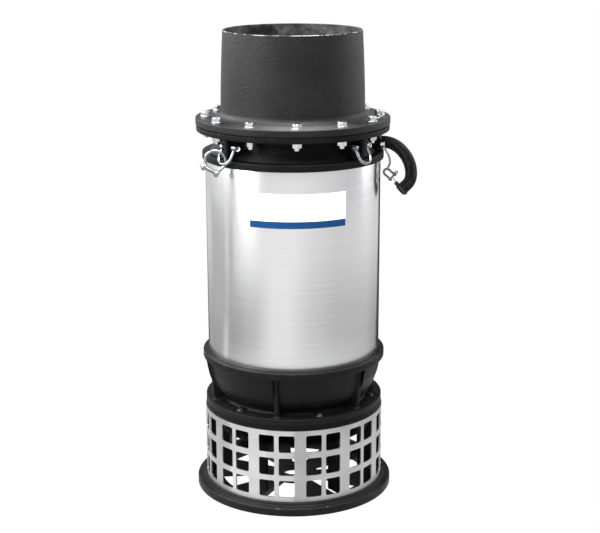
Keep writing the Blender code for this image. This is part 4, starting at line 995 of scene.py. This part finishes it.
clamp_mesh = bmesh.new()
oval = []
for centre_y, radius, first, last in ((GLAND_NUT_PLACE, 0.008, -50, 50), (0.0, 0.0155, 60, 120),
                                      (-GLAND_NUT_PLACE, 0.008, 130, 230), (0.0, 0.0155, 240, 300)):
    for step in range(13):
        turn = math.radians(first + (last - first) * step / 12)
        oval.append((centre_y + radius * math.cos(turn), radius * math.sin(turn)))
hole_turns = [math.tau * n / len(oval) - 0.9 for n in range(len(oval))]
hole = [(CABLE_HOLE * math.cos(turn), CABLE_HOLE * math.sin(turn)) for turn in hole_turns]
back, front = [[[clamp_mesh.verts.new((x, y, GLAND_LEVEL + z)) for y, z in ring] for ring in (oval, hole)]
               for x in (CLAMP_BACK, CLAMP_FRONT)]
for ring, following in ((back[0], back[1]), (front[0], front[1]), (back[0], front[0]), (back[1], front[1])):
    banded(clamp_mesh, ring, following)
for side in (GLAND_NUT_PLACE, -GLAND_NUT_PLACE):
    nut_place = Matrix.Translation((CLAMP_FRONT - 0.0001, side, GLAND_LEVEL)) @ SIDEWAYS
    hexagon(clamp_mesh, 0.0100, 0.0, 0.0058, 0.0007, nut_place)
piece("gland_clamp_plate", clamp_mesh, zinc, replaces=["gland_clamp"])


# Flange gasket
# A thin rubber ring between the two flanges, a little smaller than they are, so that the joint
# shows as a dark line.
gasket_low, gasket_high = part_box("flange_gasket")
gasket_mesh = plain_ring(bmesh.new(), (0.1470, gasket_high.x), (gasket_low.z, gasket_high.z), steps=192)
piece("flange_gasket_ring", gasket_mesh, soft_rubber, replaces=["flange_gasket"])


# Discharge spigot
# An iron spigot with a bolted flange, slightly tapered, with a machined rim whose edge is bare.
spigot_low, spigot_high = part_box("discharge_spigot")
SPIGOT_TOP, SPIGOT_FOOT, FLANGE_RADIUS = spigot_high.z, spigot_low.z, spigot_high.x
FLANGE_FACE, RIM_RADIUS = 0.8527, 0.1525
spigot_corners = [
    (BORE_RADIUS, SPIGOT_FOOT, 0.001), (BORE_RADIUS, SPIGOT_TOP, 0.0012), (RIM_RADIUS, SPIGOT_TOP, 0.0010),
    (0.1549, 0.9960, 0.3), (0.1568, 0.9510, 0.3), (0.1581, 0.9060, 0.3), (0.1592, FLANGE_FACE, 0.0170),
    (FLANGE_RADIUS, FLANGE_FACE, 0.0018), (FLANGE_RADIUS, SPIGOT_FOOT, 0.0012),
]
spigot_mesh = spun(bmesh.new(), softened(spigot_corners, 8), worn=[(RIM_RADIUS, SPIGOT_TOP)])
spigot_paint = black_paint("black_paint_on_spigot", "#060607", "#0f0f10", 0.45, bare=0.5, shine=0.24)
# A painted highlight lies on the front of the flange's face, pale grey on its upward faces near the front, and the
# bore is patchy where water dried.
tree = spigot_paint.node_tree
shader = tree.nodes["Principled BSDF"]
normal = add(tree, "ShaderNodeNewGeometry").outputs["Normal"]
upward = add(tree, "ShaderNodeSeparateXYZ", {0: normal}).outputs["Z"]
level = add(tree, "ShaderNodeMapRange", {0: upward, 1: 0.80, 2: 1.0})
place = add(tree, "ShaderNodeTexCoord").outputs["Object"]
reach = add(tree, "ShaderNodeVectorMath", {0: place, 1: (0.0, -0.19, 0.85)}, operation="DISTANCE").outputs["Value"]
near = add(tree, "ShaderNodeMapRange", {0: reach, 1: 0.155, 2: 0.03})
painted_highlight_mask = add(tree, "ShaderNodeMath", {0: level, 1: near}, operation="MULTIPLY")
painted = shader.inputs["Base Color"].links[0].from_socket
# Painted highlight: pale grey on the flange's upward faces near the front.
with_painted_highlight = add(tree, "ShaderNodeMix", {"Factor": painted_highlight_mask, 6: painted, 7: linear("#4a4a4a")}, data_type="RGBA")
flat = add(tree, "ShaderNodeVectorMath", {0: place, 1: (1.0, 1.0, 0.0)}, operation="MULTIPLY")
from_axis = add(tree, "ShaderNodeVectorMath", {0: flat}, operation="LENGTH").outputs["Value"]
inside = add(tree, "ShaderNodeMath", {0: from_axis, 1: BORE_RADIUS + 0.0012}, operation="LESS_THAN")
stain = add(tree, "ShaderNodeTexNoise", {"Vector": place, "Scale": 1.0 / 0.035, "Detail": 4.0, "Roughness": 0.7})
dried = add(tree, "ShaderNodeMapRange", {0: stain, 1: 0.42, 2: 0.66})
stained = add(tree, "ShaderNodeMath", {0: inside, 1: dried}, operation="MULTIPLY")
patchy = add(tree, "ShaderNodeMix", {"Factor": stained, 6: with_painted_highlight.outputs[2], 7: linear("#3c3c3c")}, data_type="RGBA")
feed(shader, {"Base Color": patchy.outputs[2]})
piece("discharge_spigot_casting", spigot_mesh, spigot_paint, replaces=["discharge_spigot"])


# Flange bolts
# Twelve M12 hexagon bolts with nuts and washers through both flanges, repeated round the bolt
# circle by Geometry Nodes, each turned a little differently.
BOLT_CIRCLE, BOLT_FLATS, WASHER_RADIUS = 0.1912, 0.0190, 0.0118
bolt_mesh = bmesh.new()
over = Matrix.Translation((0.0, 0.0, FLANGE_FACE))
plain_ring(bolt_mesh, (0.0, WASHER_RADIUS), (0.0001, 0.0026), (0.0, 0.0, 0.0005), matrix=over)
hexagon(bolt_mesh, BOLT_FLATS, 0.0025, 0.0112, 0.0012, over)
under = Matrix.Translation((0.0, 0.0, FLANGE_UNDER)) @ Matrix.Rotation(math.pi, 4, "X")
plain_ring(bolt_mesh, (0.0, WASHER_RADIUS), (0.0001, 0.0020), (0.0, 0.0, 0.0005), matrix=under)
hexagon(bolt_mesh, BOLT_FLATS, 0.0018, 0.0112, 0.0012, under)
plain_ring(bolt_mesh, (0.0, 0.0058), (0.0100, 0.0172), (0.0, 0.0, 0.0010), 24, under)
bmesh.ops.recalc_face_normals(bolt_mesh, faces=bolt_mesh.faces)
bolt_pattern = placed("bolt_pattern", written("bolt_pattern", bolt_mesh))

bolt_tree, given, source, result = geometry_tree("bolt_circle", ("Bolts", "Circle radius", "First angle", "Seed"))
count = add(bolt_tree, "FunctionNodeFloatToInt", {0: given["Bolts"]})
circle = add(bolt_tree, "GeometryNodeMeshCircle", {"Vertices": count, "Radius": given["Circle radius"]})
phase = add(bolt_tree, "ShaderNodeCombineXYZ", {"Z": given["First angle"]})
ring = add(bolt_tree, "GeometryNodeTransform", {0: circle, "Rotation": phase})
seed = add(bolt_tree, "FunctionNodeFloatToInt", {0: given["Seed"]})
chance = add(bolt_tree, "FunctionNodeRandomValue", {2: 0.0, 3: math.radians(60.0), "Seed": seed}).outputs[1]
spin = add(bolt_tree, "ShaderNodeCombineXYZ", {"Z": chance})
copies = add(bolt_tree, "GeometryNodeInstanceOnPoints", {"Points": ring, "Instance": source, "Rotation": spin})
real = add(bolt_tree, "GeometryNodeRealizeInstances", {0: copies})
feed(result, {0: add(bolt_tree, "GeometryNodeSetMaterial", {0: real, "Material": given["Material"]})})

bolts = bmesh.new()
bolts.from_mesh(grown("bolt_circle", bolt_tree, {
    "Bolts": 12.0, "Circle radius": BOLT_CIRCLE, "First angle": math.radians(0.8), "Seed": 3.0,
    "Pattern": bolt_pattern, "Material": zinc}))
bpy.data.objects.remove(bolt_pattern)
piece("flange_bolts", bolts, zinc, sharp=30.0)


# Earth wire
# A short bare wire from one flange bolt to the next, which lies over the flange's face near its
# edge and is held under the bolts' heads.
EARTH_RADIUS = 0.0016
earth_route = [wall_place(62.0, 0.1925, 0.8565), wall_place(66.0, 0.1960, 0.8580), wall_place(74.0, 0.1990, 0.8590),
               wall_place(82.0, 0.1980, 0.8585), wall_place(88.0, 0.1930, 0.8565)]
earth_points = smooth_points(earth_route, 0.0015)
earth_mesh = swept(bmesh.new(), earth_points, [EARTH_RADIUS] * len(earth_points), 12)
piece("earth_wire", earth_mesh, zinc)


# Lifting shackles
# Bent round bar, 6.8 mm thick, with forged eyes and a screwed pin through the lug. One hangs in
# each lug, leaning out over the collar, and the front left one carries a second shackle.
def shackle_bow(matrix, half_width, bow_radius, length, rod, eye=0.008, eye_thick=0.008, hole=0.0048):
    """A bow in the matrix's XZ plane, with its eyes on the local X axis."""
    turns = [math.radians(-180.0 * n / 24) for n in range(25)]
    path = [(half_width, 0.0), (half_width, -0.5 * eye)]
    path += [(bow_radius * math.cos(turn), bow_radius - length + bow_radius * math.sin(turn)) for turn in turns]
    path += [(-half_width, -0.5 * eye), (-half_width, 0.0)]
    points = [matrix @ Vector((x, 0.0, z)) for x, z in path]
    across_bow = matrix.to_3x3() @ Vector((0.0, 1.0, 0.0))
    mesh = swept(bmesh.new(), points, [rod / 2] * len(points), 20, normal=across_bow)
    for side in (half_width, -half_width):
        along_pin = matrix @ Matrix.Translation((side - eye_thick / 2, 0.0, 0.0)) @ SIDEWAYS
        plain_ring(mesh, (hole, eye), (0.0, eye_thick), (0.0006, 0.0016, 0.0016), 40, along_pin)
    return mesh


def shackle_pin(matrix, half_width, pin=0.0045, eye_thick=0.008, head=0.0076, size=1.0):
    """A pin along local X with a collar and a flat eyed head at its +X end."""
    outside = half_width + eye_thick / 2
    start = matrix @ Matrix.Translation((-outside - 0.003 * size, 0.0, 0.0)) @ SIDEWAYS
    mesh = plain_ring(bmesh.new(), (0.0, pin), (0.0, 2 * outside + 0.005 * size), (0.0, 0.0008, 0.0), 28, start)
    collar = matrix @ Matrix.Translation((outside + 0.0003, 0.0, 0.0)) @ SIDEWAYS
    plain_ring(mesh, (0.0, head * 0.88), (0.0, 0.0026 * size), (0.0, 0.0006, 0.0008), 32, collar)
    tab = matrix @ Matrix.Translation((outside + 0.0072 * size, -0.002 * size, 0.0))
    plain_ring(mesh, (0.0026 * size, 0.0064 * size), (0.0, 0.004 * size), (0.0005, 0.0011, 0.0011), 32,
               tab @ Matrix.Rotation(-math.pi / 2, 4, "X"))
    return mesh


def hanging(x_axis, z_axis, origin):
    """A shackle's place, from its pin's way, its bow's upward way and the middle of its pin."""
    turn = Matrix((x_axis, z_axis.cross(x_axis), z_axis)).transposed().to_4x4()
    return Matrix.Translation(Vector(origin)) @ turn


# Galvanised steel: smooth mid grey with broad faint clouds, bright where it catches a light and
# near black where it mirrors the castings.
galvanised = clouded("galvanised_steel", 0.012, 2.0, "#7e8082", "#a0a2a4", (0.17, 0.27), metallic=1.0)

SHACKLE_ROD, SHACKLE_HALF_WIDTH = 0.0068, 0.0175
SHACKLE_LEAN = math.radians(30.0)
PIN_RADIUS, PIN_LEVEL = 0.1960, 0.8060
for lug, lug_angle in LUG_ANGLES.items():
    turn = math.radians(lug_angle)
    outward = Vector((math.sin(turn), -math.cos(turn), 0.0))
    width = Vector((math.cos(turn), math.sin(turn), 0.0))
    upward = UP * math.cos(SHACKLE_LEAN) - outward * math.sin(SHACKLE_LEAN)
    hang = hanging(width, upward, outward * PIN_RADIUS + UP * PIN_LEVEL)
    bow = shackle_bow(hang, SHACKLE_HALF_WIDTH, SHACKLE_HALF_WIDTH, 0.0380, SHACKLE_ROD)
    piece(f"shackle_{lug}_bow", bow, galvanised, body=f"shackle_{lug}",
          replaces=[f"shackle_{lug}"])
    pin = shackle_pin(hang, SHACKLE_HALF_WIDTH)
    piece(f"shackle_{lug}_pin", pin, galvanised, body=f"shackle_{lug}",
          replaces=[f"shackle_pin_{lug}"])

LINK_HALF_WIDTH = 0.0150
link_tilt, link_yaw = math.radians(28.0), math.radians(-4.0)
level_way = Vector((math.cos(link_yaw), math.sin(link_yaw), 0.0))
link_width = level_way * math.cos(link_tilt) - UP * math.sin(link_tilt)
link_down = -level_way * math.sin(link_tilt) - UP * math.cos(link_tilt)
link_hang = hanging(link_width, link_down, (-0.1785, -0.1402, 0.7584))
link_bow = shackle_bow(link_hang, LINK_HALF_WIDTH, 0.0225, 0.0445, SHACKLE_ROD)
piece("linked_shackle_bow", link_bow, galvanised, body="shackle_front_left", replaces=["linked_shackle"])
link_pin = shackle_pin(link_hang @ Matrix.Rotation(math.pi, 4, "Z"), LINK_HALF_WIDTH, head=0.0062, size=0.45)
piece("linked_shackle_bolt", link_pin, galvanised, body="shackle_front_left", replaces=["linked_shackle_pin"])


# Small shackle and cable tie
# A small steel shackle on the end of the wire holds the black nylon tie round the cable's end.
SMALL = 0.0040 / SHACKLE_ROD
SMALL_HALF_WIDTH, SMALL_EYE = 0.0070, 0.008 * SMALL
small_tilt = math.radians(41.5)
small_up = Vector((-math.cos(small_tilt), 0.0, math.sin(small_tilt)))
small_width = Vector((math.sin(small_tilt), 0.0, math.cos(small_tilt)))
small_hang = hanging(small_width, small_up, (0.2200, -0.0100, 0.7165)) @ Matrix.Rotation(math.pi, 4, "X")
small_bow = shackle_bow(small_hang, SMALL_HALF_WIDTH, SMALL_HALF_WIDTH, 0.0230, 0.0050, SMALL_EYE, SMALL_EYE,
                        hole=0.0025)
small_bow_piece = piece("small_shackle_bow", small_bow, dull_zinc, replaces=["small_shackle"])
small_pin = shackle_pin(small_hang, SMALL_HALF_WIDTH, pin=0.0022, eye_thick=SMALL_EYE, head=0.0076 * SMALL,
                        size=SMALL)
small_pin_piece = piece("small_shackle_bolt", small_pin, dull_zinc, replaces=["small_shackle_pin"])
# Moulded nylon: black and satin, a little grey in fine clouds.
dress("cable_tie", clouded("black_nylon", 0.004, 2.0, "#101011", "#1e1e1f", 0.38))
